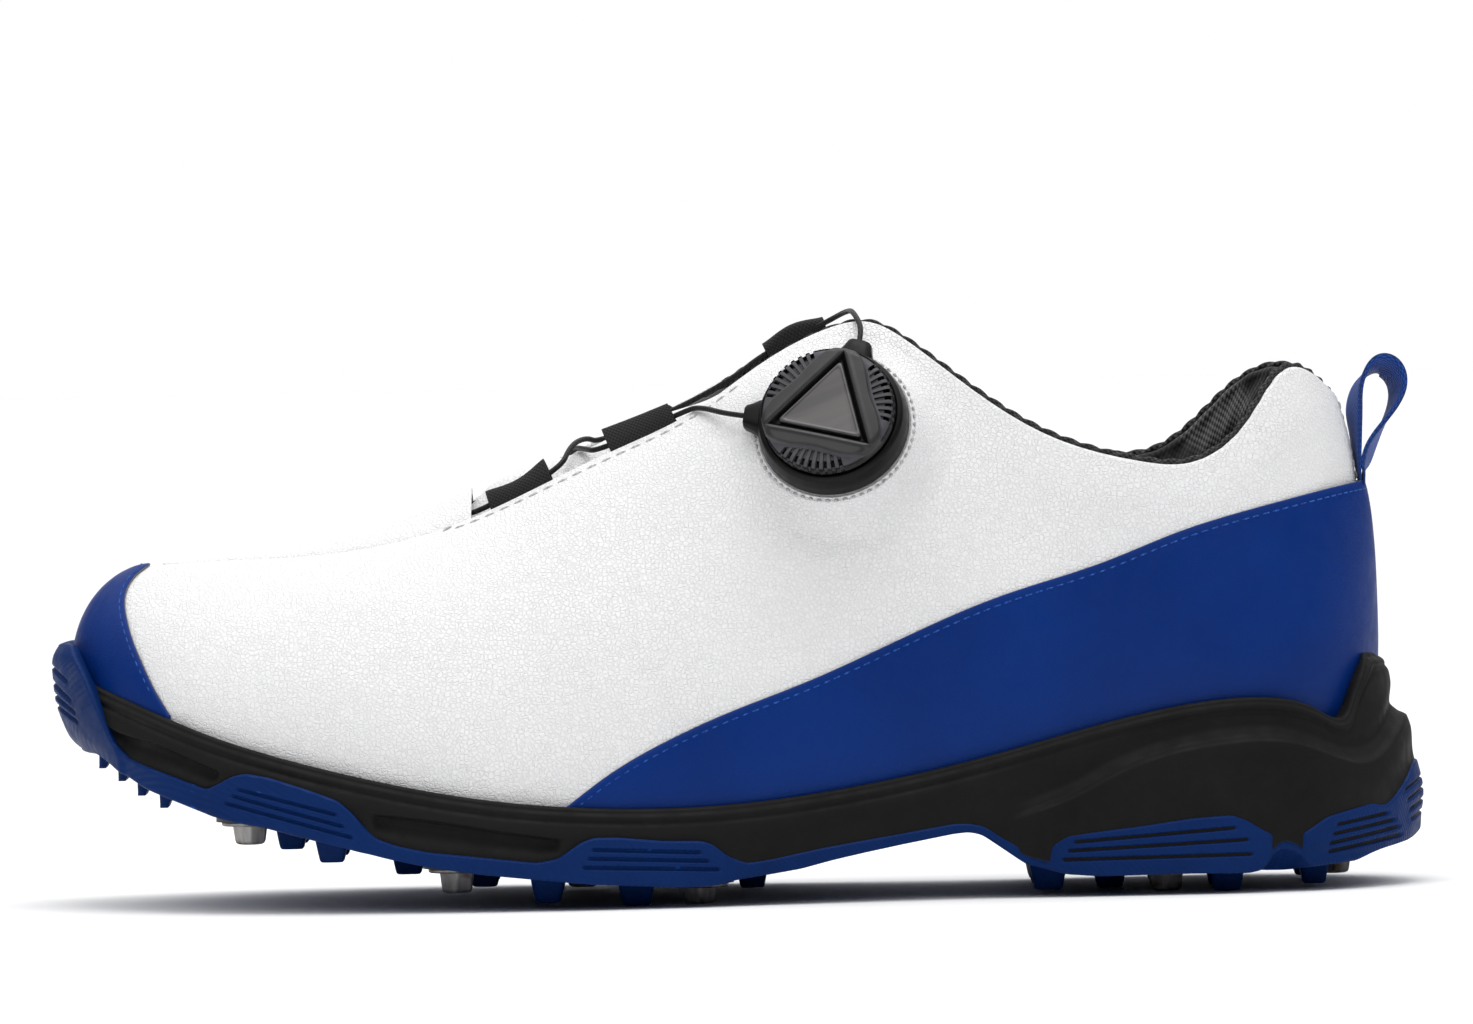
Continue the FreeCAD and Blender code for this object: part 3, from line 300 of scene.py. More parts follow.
def resample(path, count):
    """Evenly spaced points along a path."""
    run = run_length(path)
    at = np.linspace(0, run[-1], count)
    return np.stack([np.interp(at, run, path[:, k]) for k in range(3)], -1)


def end_faces(count, around, first=0):
    """The two faces that close the ends of a ring section."""
    end = first + (count - 1) * around
    return [[first + k for k in range(around)][::-1], [end + k for k in range(around)]]


STITCH_STEPS, STITCH_SIDES = 12, 6


def add_stitches(name, path, normals, material, pitch=3.0, share=0.66, width=0.34, rise=0.12,
                 body="shoe", slot="white_leather"):
    """A row of stitches along a path: short rounded threads half sunk into the surface."""
    count = max(int(run_length(path)[-1] / pitch), 1)
    fine = resample(path, count * STITCH_STEPS + 1)
    t_old = np.linspace(0, 1, len(path))
    t_new = np.linspace(0, 1, count * STITCH_STEPS + 1)
    nrm = unit(np.stack([np.interp(t_new, t_old, normals[:, k]) for k in range(3)], -1))
    points, faces = [], []
    used = int(round(STITCH_STEPS * share))
    arch = np.sin(np.linspace(0, math.pi, used + 1))
    size = width * (0.35 + 0.65 * arch ** 0.5)
    angle = np.linspace(0, TAU, STITCH_SIDES, endpoint=False)
    for i in range(count):
        a = i * STITCH_STEPS + (STITCH_STEPS - used) // 2
        spine, out = fine[a:a + used + 1], nrm[a:a + used + 1]
        side = np.cross(unit(np.gradient(spine, axis=0)), out)
        ring = (side[:, None] * np.cos(angle)[None, :, None]
                + out[:, None] * np.sin(angle)[None, :, None] * 0.8) * size[:, None, None]
        grid = spine[:, None] + out[:, None] * (rise * arch - 0.05)[:, None, None] + ring
        quads, _ = grid_data(grid, closed_v=True, first=len(points))
        faces += quads + end_faces(used + 1, STITCH_SIDES, len(points))
        points += grid.reshape(-1, 3).tolist()
    return add_mesh(name, points, faces, materials=[material], body=body, slot=slot)


# ---------------------------------------------------------------- materials


class Nodes:
    """Builds one principled material; heights are in millimetres, coordinates in metres."""

    def __init__(self, name):
        self.material = bpy.data.materials.new(name)
        self.material.use_nodes = True
        self.tree = self.material.node_tree
        self.shader = self.tree.nodes["Principled BSDF"]
        self.coordinates = self.tree.nodes.new("ShaderNodeTexCoord")
        self.heights = []

    def new(self, kind, **settings):
        node = self.tree.nodes.new(kind)
        for key, value in settings.items():
            setattr(node, key, value)
        return node

    def link(self, a, b):
        if isinstance(a, (int, float)):
            b.default_value = a
        else:
            self.tree.links.new(a, b)

    def math(self, operation, a, b=0.0, c=0.0):
        node = self.new("ShaderNodeMath", operation=operation)
        for value, socket in zip((a, b, c), node.inputs):
            self.link(value, socket)
        return node.outputs[0]

    def place(self, scale=(1, 1, 1)):
        node = self.new("ShaderNodeMapping")
        node.inputs["Scale"].default_value = scale
        self.link(self.coordinates.outputs["Object"], node.inputs["Vector"])
        return node.outputs[0]

    def noise(self, scale, detail=3.0, rough=0.5, at=None):
        node = self.new("ShaderNodeTexNoise")
        node.inputs["Scale"].default_value = scale
        node.inputs["Detail"].default_value = detail
        node.inputs["Roughness"].default_value = rough
        self.link(self.place() if at is None else at, node.inputs["Vector"])
        return node.outputs["Fac"]

    def cells(self, scale, feature="DISTANCE_TO_EDGE"):
        node = self.new("ShaderNodeTexVoronoi", feature=feature)
        node.inputs["Scale"].default_value = scale
        self.link(self.place(), node.inputs["Vector"])
        return node.outputs["Distance"]

    def range(self, value, low, high, to_low=0.0, to_high=1.0, smooth_step=True):
        node = self.new("ShaderNodeMapRange",
                        interpolation_type="SMOOTHSTEP" if smooth_step else "LINEAR")
        for key, number in zip(("From Min", "From Max", "To Min", "To Max"),
                               (low, high, to_low, to_high)):
            node.inputs[key].default_value = number
        self.link(value, node.inputs["Value"])
        return node.outputs["Result"]

    def blend(self, factor, a, b):
        node = self.new("ShaderNodeMix", data_type="RGBA")
        self.link(factor, node.inputs["Factor"])
        for value, socket in ((a, node.inputs[6]), (b, node.inputs[7])):
            if isinstance(value, tuple):
                socket.default_value = (*value, 1.0)
            else:
                self.link(value, socket)
        return node.outputs[2]

    def height(self, value, amount):
        """Adds a texture to the surface's height, amount in millimetres."""
        self.heights.append(self.math("MULTIPLY", value, amount))

    def finish(self, colour, rough, **constants):
        if isinstance(colour, tuple):
            self.shader.inputs["Base Color"].default_value = (*colour, 1.0)
        else:
            self.link(colour, self.shader.inputs["Base Color"])
        self.link(rough, self.shader.inputs["Roughness"])
        for key, value in constants.items():
            self.shader.inputs[key.replace("_", " ")].default_value = value
        if self.heights:
            total = self.heights[0]
            for more in self.heights[1:]:
                total = self.math("ADD", total, more)
            bump_node = self.new("ShaderNodeBump")
            bump_node.inputs["Strength"].default_value = 1.0
            bump_node.inputs["Distance"].default_value = MM
            self.link(total, bump_node.inputs["Height"])
            self.link(bump_node.outputs["Normal"], self.shader.inputs["Normal"])
        return self.material

    def edges(self, low, high):
        """1 on convex edges, 0 elsewhere."""
        return self.range(self.new("ShaderNodeNewGeometry").outputs["Pointiness"], low, high)

    def weave(self, along, over, source="UV"):
        """A plain weave's height over UV, from 0 to 1; along and over are threads a UV unit."""
        parts = self.new("ShaderNodeSeparateXYZ")
        self.link(self.coordinates.outputs[source], parts.inputs[0])
        a = self.math("SINE", self.math("MULTIPLY", parts.outputs[0], along * TAU))
        b = self.math("SINE", self.math("MULTIPLY", parts.outputs[1], over * TAU))
        return self.range(self.math("MULTIPLY", a, b), -1, 1, smooth_step=False)


def leather(name, light, dark, rough, pebble, amount, sheen=0.0, coat=0.0, wear_and_highlight=None,
            specular=0.3):
    """Coated leather: small pebbles with creases between them, soft colour variation; the creases are
    painted a little darker as shade.
    """
    n = Nodes(name)
    drift = n.noise(28.0, 3.0)
    creases = n.range(n.cells(pebble), 0.0, 0.16)
    n.height(creases, amount)
    n.height(n.cells(pebble * 0.43, "SMOOTH_F1"), -amount * 1.3)
    n.height(n.noise(pebble * 2.6, 2.0), amount * 0.5)
    n.height(n.noise(95.0, 2.0), 0.10)
    colour = n.blend(n.range(drift, 0.3, 0.7), dark, light)
    # painted shade: the creases between the pebbles are darkened a little
    crease_shade = tuple(c * 0.86 for c in dark)
    colour = n.blend(n.range(creases, 0.0, 0.6, 0.35, 0.0), colour, crease_shade)
    # paler convex edges: partly rubbed wear, partly a painted highlight
    if wear_and_highlight:
        colour = n.blend(n.edges(0.52, 0.60), colour, wear_and_highlight)
    roughness = n.range(n.noise(240.0, 3.0), 0.3, 0.7, rough - 0.05, rough + 0.07)
    return n.finish(colour, roughness, Sheen_Weight=sheen, Coat_Weight=coat, Coat_Roughness=0.35,
                    Specular_IOR_Level=specular)


def rubber(name, light, dark, rough, grain, amount, twill=0.0, wear_and_highlight=None):
    """Moulded rubber or foam: fine grain, mould bloom and paler convex edges, partly rubbed wear and
    partly painted highlight.
    """
    n = Nodes(name)
    n.height(n.noise(grain, 2.0), amount)
    n.height(n.noise(60.0, 2.0), 0.08)
    if twill:
        wave = n.new("ShaderNodeTexWave", wave_type="BANDS", bands_direction="DIAGONAL")
        wave.inputs["Scale"].default_value = 420.0
        wave.inputs["Distortion"].default_value = 0.3
        n.link(n.place(), wave.inputs["Vector"])
        n.height(wave.outputs["Fac"], twill)
    bloom = n.range(n.noise(40.0, 4.0, 0.6), 0.35, 0.75)
    colour = n.blend(bloom, light, dark)
    # paler convex edges: partly rubbed wear, partly a painted highlight
    if wear_and_highlight:
        colour = n.blend(n.edges(0.53, 0.62), colour, wear_and_highlight)
    roughness = n.range(n.noise(300.0, 2.0), 0.3, 0.7, rough - 0.06, rough + 0.08)
    return n.finish(colour, roughness, Specular_IOR_Level=0.09)


def webbing(name, light, dark, along=90.0, over=160.0, amount=0.12, rough=0.72, source="UV"):
    """Woven tape with visible threads, the hollows of the weave painted darker as shade."""
    n = Nodes(name)
    height = n.weave(along, over, source)
    n.height(height, amount)
    n.height(n.noise(2500.0, 2.0), 0.03)
    # painted shade: low threads of the weave darker, crests lighter
    colour = n.blend(n.range(height, 0.25, 0.8), dark, light)
    colour = n.blend(n.range(n.noise(90.0, 2.0), 0.35, 0.7, 0.0, 0.35), colour, dark)
    return n.finish(colour, rough, Sheen_Weight=0.05, Sheen_Roughness=0.5, Specular_IOR_Level=0.2)


def knit(name, light, dark, stripes, rough=0.85):
    """Spacer mesh with diagonal stripes of lighter yarn; the hollows of the weave are painted darker
    as shade.
    """
    n = Nodes(name)
    height = n.weave(75.0, 75.0)
    n.height(height, 0.16)
    n.height(n.noise(1800.0, 2.0), 0.05)
    parts = n.new("ShaderNodeSeparateXYZ")
    n.link(n.coordinates.outputs["UV"], parts.inputs[0])
    slant = n.math("ADD", parts.outputs[0], parts.outputs[1])
    wave = n.math("SINE", n.math("MULTIPLY", slant, stripes * TAU))
    band = n.range(wave, 0.25, 0.7)
    # the stripes are the yarn's pattern; darkening the weave's hollows is painted shade
    yarn = n.range(height, 0.3, 0.75)
    colour = n.blend(n.math("MULTIPLY", band, yarn), dark, light)
    return n.finish(colour, rough, Sheen_Weight=0.15, Sheen_Roughness=0.6, Specular_IOR_Level=0.2)


def plastic(name, light, dark, rough, grain=900.0, amount=0.012, wear_and_highlight=None, **constants):
    """Moulded plastic with a fine matt texture."""
    n = Nodes(name)
    n.height(n.noise(grain, 2.0), amount)
    n.height(n.noise(150.0, 2.0), amount)
    colour = n.blend(n.range(n.noise(120.0, 3.0), 0.35, 0.7), light, dark)
    if wear_and_highlight:
        colour = n.blend(n.edges(0.53, 0.64), colour, wear_and_highlight)
    roughness = n.range(n.noise(500.0, 2.0), 0.3, 0.7, rough - 0.05, rough + 0.06)
    return n.finish(colour, roughness, **constants)


def metal(name, light, dark, rough, brush=(900.0, 60.0, 900.0), wear_and_highlight=None):
    """Brushed or cast metal with streaks."""
    n = Nodes(name)
    streaks = n.noise(1.0, 3.0, at=n.place(scale=brush))
    n.height(streaks, 0.02)
    colour = n.blend(n.range(streaks, 0.3, 0.7), dark, light)
    if wear_and_highlight:
        colour = n.blend(n.range(n.noise(220.0, 4.0), 0.48, 0.68), colour, wear_and_highlight)
    roughness = n.range(streaks, 0.3, 0.7, rough, rough + 0.15)
    return n.finish(colour, roughness, Metallic=0.85, Specular_IOR_Level=0.5)


def make_materials():
    return {
        "white_leather": leather("white leather", (0.87, 0.87, 0.875), (0.83, 0.83, 0.84), 0.46,
                                 1050.0, 0.12, sheen=0.02, coat=0.03),
        # the third colours of blue leather, blue rubber and black foam make convex edges paler:
        # partly wear, partly painted highlight
        "blue_leather": leather("blue leather", (0.0013, 0.028, 0.185), (0.0010, 0.022, 0.152),
                                0.38, 1500.0, 0.02, coat=0.02, wear_and_highlight=(0.006, 0.075, 0.36),
                                specular=0.11),
        # dark cut edge of the blue panels: partly the raw edge's own colour, partly a painted shadow
        # along it
        "cut_edge_and_shadow": leather("cut leather edge and painted shadow", (0.24, 0.22, 0.19), (0.10, 0.10, 0.12), 0.7,
                            2200.0, 0.05),
        "blue_rubber": rubber("blue rubber", (0.0016, 0.021, 0.112), (0.0012, 0.016, 0.088), 0.5,
                              1300.0, 0.05, twill=0.05, wear_and_highlight=(0.005, 0.055, 0.27)),
        "black_foam": rubber("black foam", (0.0105, 0.010, 0.0098), (0.0075, 0.0073, 0.0072), 0.58,
                             1700.0, 0.05, wear_and_highlight=(0.035, 0.034, 0.034)),
        "lining": knit("striped lining", (0.105, 0.105, 0.11), (0.008, 0.008, 0.009), 2.0),
        "lining_plain": knit("plain lining", (0.060, 0.060, 0.063), (0.022, 0.022, 0.024), 0.4),
        "braid": webbing("edge braid", (0.060, 0.060, 0.064), (0.006, 0.006, 0.007), 70, 50, 0.16),
        "webbing_black": webbing("black webbing", (0.022, 0.022, 0.023), (0.007, 0.007, 0.008),
                                 110, 110),
        "webbing_blue": webbing("blue webbing", (0.012, 0.085, 0.40), (0.003, 0.020, 0.13),
                                80, 110, 0.14, 0.6),
        "footbed": knit("footbed cloth", (0.17, 0.175, 0.185), (0.085, 0.088, 0.095), 1.2),
        "wire": webbing("coated wire", (0.009, 0.009, 0.0095), (0.003, 0.003, 0.004), 900, 900,
                        0.05, 0.42, "Object"),
        "thread": webbing("grey thread", (0.60, 0.60, 0.61), (0.40, 0.40, 0.41), 900, 900, 0.06,
                          0.65, "Object"),
        "thread_blue": webbing("blue thread", (0.02, 0.12, 0.50), (0.006, 0.045, 0.24), 900, 900,
                               0.06, 0.6, "Object"),
        "dial": plastic("matt dial", (0.024, 0.0235, 0.024), (0.018, 0.0175, 0.018), 0.42,
                        Specular_IOR_Level=0.4),
        "dial_grip": plastic("dial grip", (0.062, 0.061, 0.070), (0.048, 0.047, 0.055), 0.5,
                             Specular_IOR_Level=0.35),
        "dial_dark": plastic("dial housing", (0.0045, 0.0045, 0.005), (0.003, 0.003, 0.0035), 0.34,
                             Specular_IOR_Level=0.15),
        "badge": metal("badge", (0.125, 0.119, 0.117), (0.085, 0.082, 0.084), 0.42, (30, 500, 30)),
        "stud": metal("stud", (0.42, 0.41, 0.40), (0.24, 0.235, 0.23), 0.38, (700, 700, 70),
                      wear_and_highlight=(0.13, 0.09, 0.06)),
        "steel": metal("steel", (0.62, 0.62, 0.63), (0.45, 0.45, 0.46), 0.25),
        "nylon": plastic("nylon", (0.05, 0.05, 0.052), (0.035, 0.035, 0.037), 0.5),
        "grey_board": rubber("fibre board", (0.42, 0.36, 0.27), (0.33, 0.28, 0.21), 0.8, 800.0,
                             0.06),
    }


# ---------------------------------------------------------------- camera, floor and light


def aim(obj, target):
    direction = Vector(target) - obj.location
    obj.rotation_euler = direction.to_track_quat("-Z", "Y").to_euler()


def make_stage():
    """The camera at the photograph's angle, a pale floor and soft lights."""
    view_width, distance = 0.3248, 2.4
    view_centre = Vector((0.0010, 0, 0.0843))
    lift, roll = math.radians(1.2), math.radians(1.19)
    camera = bpy.data.objects.new("camera", bpy.data.cameras.new("camera"))
    forward = Vector((0, math.cos(lift), -math.sin(lift)))
    level, top = Vector((1, 0, 0)), Vector((0, math.sin(lift), math.cos(lift)))
    right = level * math.cos(roll) - top * math.sin(roll)
    up = level * math.sin(roll) + top * math.cos(roll)
    place = view_centre - forward * distance
    camera.matrix_world = Matrix((
        (right.x, up.x, -forward.x, place.x), (right.y, up.y, -forward.y, place.y),
        (right.z, up.z, -forward.z, place.z), (0, 0, 0, 1)))
    camera.data.sensor_width = 36.0
    camera.data.lens = camera.data.sensor_width * distance / view_width
    camera.data.clip_end = 50.0
    bpy.context.scene.collection.objects.link(camera)
    bpy.context.scene.camera = camera

    n = Nodes("pale floor")
    n.height(n.noise(400.0, 2.0), 0.02)
    floor_paint = n.finish(n.blend(n.range(n.noise(3.0, 2.0), 0.3, 0.7), (0.93, 0.93, 0.93),
                                   (0.91, 0.91, 0.915)), 0.85, Specular_IOR_Level=0.1)
    mesh = bpy.data.meshes.new("floor")
    half = 12.0
    mesh.from_pydata([(-half, -half, 0), (half, -half, 0), (half, half, 0), (-half, half, 0)], [],
                     [(0, 1, 2, 3)])
    mesh.materials.append(floor_paint)
    floor = bpy.data.objects.new("floor", mesh)
    bpy.context.scene.collection.objects.link(floor)

    world = bpy.data.worlds.new("studio")
    world.use_nodes = True
    tree = world.node_tree
    direction = tree.nodes.new("ShaderNodeTexCoord")
    parts = tree.nodes.new("ShaderNodeSeparateXYZ")
    tree.links.new(direction.outputs["Generated"], parts.inputs[0])
    shares = []  # bright above and behind, dark at the level
    for axis, low, high, dark, bright in ((2, 0.12, 1.0, 0.03, 1.75), (1, 0.80, 0.985, 0.0, 1.0)):
        node = tree.nodes.new("ShaderNodeMapRange")
        node.interpolation_type = "SMOOTHSTEP"
        for key, number in zip(("From Min", "From Max", "To Min", "To Max"),
                               (low, high, dark, bright)):
            node.inputs[key].default_value = number
        tree.links.new(parts.outputs[axis], node.inputs["Value"])
        shares.append(node.outputs["Result"])
    brightest = tree.nodes.new("ShaderNodeMath")
    brightest.operation = "MAXIMUM"
    for share, socket in zip(shares, brightest.inputs):
        tree.links.new(share, socket)
    sky = tree.nodes["Background"]
    sky.inputs["Color"].default_value = (1.0, 1.0, 1.0, 1.0)
    tree.links.new(brightest.outputs[0], sky.inputs["Strength"])
    bpy.context.scene.world = world
    lamps = [
        ("top", (0.05, -0.30, 1.5), (0.0, 0.0, 0.06), 0.9, 7.0),
        ("key", (-0.75, -0.85, 1.25), (0.0, 0.0, 0.07), 0.6, 0.3),
    ]
    for name, where, target, size, power in lamps:
        lamp = bpy.data.lights.new(name, "AREA")
        lamp.shape, lamp.size, lamp.energy = "DISK", size, power
        obj = bpy.data.objects.new(name, lamp)
        obj.location = where
        bpy.context.scene.collection.objects.link(obj)
        aim(obj, target)
    bpy.context.scene.view_settings.view_transform = "Standard"


# ---------------------------------------------------------------- the lace

# The wire's route from the dial's lower port to its upper port.
LACE = [
    (8.8, -30.0, 105.2), (0.3, -28.1, 106.0), (-6.6, -18.6, 107.9), (-9.8, -13.9, 107.0),
    (-29.1, -12.8, 98.5), (-32.4, -4.5, 99.0), (-34.4, 3.5, 99.2), (-37.6, 8.5, 95.6),
    (-55.6, 8.2, 87.2), (-58.2, 6.0, 87.3), (-59.4, 0.0, 87.9), (-58.4, -7.2, 85.2),
    (-55.3, -10.3, 86.0), (-37.4, -12.2, 94.7), (-35.2, -5.0, 99.9), (-31.8, 4.0, 101.4),
    (-29.2, 9.3, 100.1), (-10.5, 9.6, 107.7), (1.0, 9.9, 113.8), (8.0, 10.9, 119.2),
    (21.2, 11.7, 125.4), (26.4, -2.0, 128.3), (27.6, -15.5, 127.9), (29.6, -24.8, 123.4),
    (27.0, -28.0, 116.3),
]
WIRE_RADIUS = 0.6


def make_lace(paint):
    curve = bpy.data.curves.new("lace", "CURVE")
    curve.dimensions = "3D"
    curve.bevel_depth = WIRE_RADIUS * MM
    curve.bevel_resolution = 5
    curve.resolution_u = 14
    curve.use_fill_caps = True
    line = curve.splines.new("NURBS")
    line.points.add(len(LACE) - 1)
    for point, place in zip(line.points, LACE):
        point.co = (*(x * MM for x in place), 1.0)
    line.order_u = 3
    line.use_endpoint_u = True
    curve.materials.append(paint["wire"])
    lace = bpy.data.objects.new("lace_wire", curve)
    bpy.context.scene.collection.objects.link(lace)
    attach(lace, "shoe")
    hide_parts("lace")


# ---------------------------------------------------------------- the upper


def edge_v(s, distance):
    """The v that lies a distance under the top line, in millimetres along the surface."""
    step = np.linalg.norm(last(s, 1.0) - last(s, 0.98), axis=-1)
    return 1 - 0.02 * distance / step


def in_collar(s):
    """1 beside the collar, 0 forward of it."""
    return smooth(5.9, 7.0, mirror_s(s))


def near_heel(s, width):
    return bump(mirror_s(s), HEEL, width)


def collar_swell(s, v):
    return in_collar(s) * smooth(0.58, 0.80, v) * (1 - 0.8 * smooth(0.9, 1.0, v))


def lining_depth(s, v):
    return LINING_DEPTH + COLLAR_PAD * collar_swell(s, v)


def rows_v(count, power=1.0, low=0.0, high=1.0):
    t = np.linspace(0, 1, count)
    return low + (high - low) * (1 - (1 - t) ** power)


def heel_seam(s):
    """How far the leather dips into the seam at the back of the heel."""
    return 0.55 * near_heel(s, 0.035)


def make_upper(paint):
    """The white leather of both sides, with a turned and rounded top edge."""
    for name, low, high in (("lateral", 0.0, 8.992), ("medial", 9.008, 18.0)):
        s = np.linspace(low, high, 420)[:, None]
        v = rows_v(84, 1.6)[None]
        puff = 0.55 * in_collar(s) * bump(v, 0.88, 0.10)
        outer = layer(s, v, heel_seam(s) - puff)
        inner = layer(s, rows_v(20)[None], LEATHER + heel_seam(s))
        grid = sections(outer, inner, steps=7, bulge=1.1)
        upper = add_grid(f"upper_{name}", grid, closed_v=True, caps=True,
                         materials=[paint["white_leather"]], slot="white_leather",
                         smooth_angle=50)
        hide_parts(f"upper_{name}")


def make_strip(paint):
    """The vamp strip between the two long seams, its edges turned down into the grooves."""
    s = np.linspace(0.04, 3.14, 235)[:, None]
    t = np.linspace(0, 1, 41)[None]
    a, b = top_line(s), top_line(AROUND - s)
    share = (0.03 + 0.94 * t)[..., None]
    rise = strip_rise(s) * (1 - (2 * t - 1) ** 2)
    fold = 0.75 * (np.abs(2 * t - 1) ** 14)
    skins = []
    for depth in (0.0, LEATHER):
        up = (rise - fold * (depth == 0.0) - depth + 0.1)[..., None] * UP
        skins.append(a + (b - a) * share + up)
    grid = sections(*skins, steps=5)
    strip = add_grid("vamp_strip_leather", grid, closed_v=True, caps=True,
                     materials=[paint["white_leather"]], slot="white_leather", smooth_angle=50)
    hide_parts("vamp_strip")


def overlay_mesh(name, s0, s1, top, paint, nodes, columns, seam=False):
    """A blue leather panel on the white leather, its cut edge left raw and painted dark: partly the
    raw edge's own colour, partly a painted shadow along it.
    """
    s = np.linspace(s0, s1, columns)[:, None]
    v_top = np.maximum(top(s[:, 0]), 0.02)[:, None]
    share = np.linspace(0, 1, 60)[None]
    v = PANEL_FOOT + (v_top - PANEL_FOOT) * share
    dip = heel_seam(s) if seam else 0.0
    swell = 1.05 - 0.28 * share**24
    at_heel = 1.2 * near_heel(s, 0.5)
    outer = layer(s, v, dip - swell - at_heel * smooth(0.45, 1.0, share))
    share = np.linspace(0, 1, 30)[None]
    v_in = PANEL_FOOT + (v_top - PANEL_FOOT) * share
    inner = layer(s, v_in, dip - 0.12 - 0.93 * at_heel * smooth(0.5, 1.0, share))
    grid = sections(outer, inner, steps=5)
    faces, uv = grid_data(grid, closed_v=True)
    nu, nv = grid.shape[:2]
    row = np.tile(np.arange(nv), nu - 1)
    # the rim faces take the dark cut-edge colour: partly the raw edge, partly a painted shadow along
    # it
    rim = ((row >= outer.shape[1] + 1) & (row < outer.shape[1] + 5)).astype(int)
    faces += end_faces(nu, nv)
    piece = add_mesh(name, grid.reshape(-1, 3), faces, uv,
                     materials=[paint["blue_leather"], paint["cut_edge_and_shadow"]],
                     face_materials=np.concatenate([rim, [0, 0]]), slot="blue_leather",
                     smooth_angle=60)
    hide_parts(*nodes)


# Upper edges of the panels in side view, from measured points: rows of z, x and of x, z.
TOE_CAP_EDGE = [
    (36.0, -119.5), (41.2, -122.2), (47.2, -126.0), (53.4, -129.2), (58.9, -131.7), (63.9, -133.3),
    (68.3, -133.8), (71.4, -132.7), (73.2, -131.2), (74.6, -129.4), (75.6, -128.0),
]
QUARTER_EDGE = [
    (-60.0, 15.0), (-46.0, 17.5), (-38.1, 21.5), (-29.8, 27.4), (-15.3, 35.6), (1.4, 42.6),
    (14.2, 47.2), (36.5, 56.6), (58.7, 65.4), (80.9, 72.2), (96.7, 78.2), (107.4, 81.4),
    (117.8, 84.0), (128.4, 86.4), (136.8, 87.8), (145.0, 88.4),
]
toe_cap_edge = spline(TOE_CAP_EDGE)
quarter_edge = spline(QUARTER_EDGE)


def toe_cap_top(s):
    return height_where(s, lambda p: p[..., 0] - toe_cap_edge(p[..., 2]))


def quarter_top(s):
    return height_where(s, lambda p: p[..., 2] - quarter_edge(p[..., 0]))


def surface_path(s, v, lift=0.0):
    """Points and normals along a line on the leather."""
    out = normal(s, v)
    return last(s, v) + out * lift, out


def make_overlays(paint):
    overlay_mesh("toe_cap_leather", -1.24, 1.24, toe_cap_top, paint, ["toe_cap"], 260)
    overlay_mesh("quarter_overlay_lateral_leather", 3.30, 8.996, quarter_top, paint,
                 ["quarter_overlay_lateral"], 360, seam=True)
    overlay_mesh("quarter_overlay_medial_leather", 9.004, 14.70, quarter_top, paint,
                 ["quarter_overlay_medial"], 360, seam=True)


def make_lining(paint):
    """The lining with its padded collar; the foam is part of this closed form."""
    for name, low, high in (("lateral", 0.05, 8.999), ("medial", 9.001, 17.95)):
        s = np.linspace(low, high, 700)[:, None]
        v_out = rows_v(40, 1.4, 0.03, 0.995)[None]
        v_in = rows_v(150, 1.3, 0.03, 1.0)[None]
        foam = in_collar(s) * smooth(0.5, 0.66, v_out)
        outer = layer(s, v_out, mix(lining_depth(s, v_out), 1.75, foam))
        run = 22.0 * s - 60.0 * v_in * np.sign(9.0 - s)
        ribs = 0.22 * np.sin(TAU * run / 5.5) * in_collar(s) * smooth(0.6, 0.75, v_in)
        inner = layer(s, v_in, lining_depth(s, v_in) + 1.0 + 0.5 * collar_swell(s, v_in) + ribs)
        grid = sections(outer, inner, steps=9, bulge=0.9)
        lining = add_grid(f"lining_{name}_knit", grid, closed_v=True, caps=True,
                          materials=[paint["lining"]], slot="lining_knit", smooth_angle=60)
        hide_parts(f"lining_{name}", f"collar_foam_{name}")


def make_braid(paint):
    """The braided tape that edges the collar: two strands twisted round each other."""
    s = np.linspace(4.55, 13.45, 2600)
    ends = smooth(4.55, 4.75, s) * (1 - smooth(13.25, 13.45, s))
    climb = unit(last(s, 1.0) - last(s, 0.97))
    centre = layer(s, 1.0, 1.5) + climb * (0.2 + 1.05 * ends)[:, None]
    run = run_length(centre)
    angle = np.linspace(0, TAU, 28, endpoint=False)
    along = unit(np.gradient(centre, axis=0))
    out = unit(normal(s, 1.0) - along * np.sum(normal(s, 1.0) * along, -1, keepdims=True))
    up = np.cross(along, out)
    twist = angle[None] * 2 + TAU * run[:, None] / 4.6
    radius = (0.80 + 0.22 * np.cos(twist)) * (0.25 + 0.75 * ends[:, None])
    ring = (out[:, None] * (np.cos(angle)[None] * radius * 1.15)[..., None]
            + up[:, None] * (np.sin(angle)[None] * radius)[..., None])
    add_grid("collar_braid", centre[:, None] + ring, closed_v=True, caps=True,
             materials=[paint["braid"]], slot="lining_knit")


# Height of the tongue along the middle of the throat: rows of x, z.
TONGUE_CROWN = [
    (-72.0, 81.6), (-64.0, 84.6), (-60.0, 86.0), (-57.5, 87.0), (-54.0, 90.4), (-50.0, 93.0),
    (-46.0, 94.6), (-40.0, 96.2), (-34.0, 97.8), (-27.0, 100.8), (-20.0, 103.9), (-12.0, 106.8),
    (-4.0, 109.4), (2.0, 113.0), (10.0, 118.2), (20.0, 122.3), (28.0, 124.0), (40.0, 124.0),
]
tongue_crown = spline(TONGUE_CROWN)


def tongue_point(s, t, depth):
    side = np.where(t < 0, s, AROUND - s)
    tuck = np.maximum(np.abs(t) - 0.5, 0) * 0.36
    edge = layer(side, 1 - tuck, TONGUE_DEPTH + depth)
    far = layer(AROUND - side, 1.0, TONGUE_DEPTH + depth)
    share = np.maximum(0.5 - np.abs(t), 0)
    middle = (layer(s, 1.0, TONGUE_DEPTH) + layer(AROUND - s, 1.0, TONGUE_DEPTH)) / 2
    rise = (tongue_crown(middle[..., 0]) - middle[..., 2]) * smooth(0.04, 0.46, share)
    return edge + (far - edge) * share[..., None] + rise[..., None] * UP


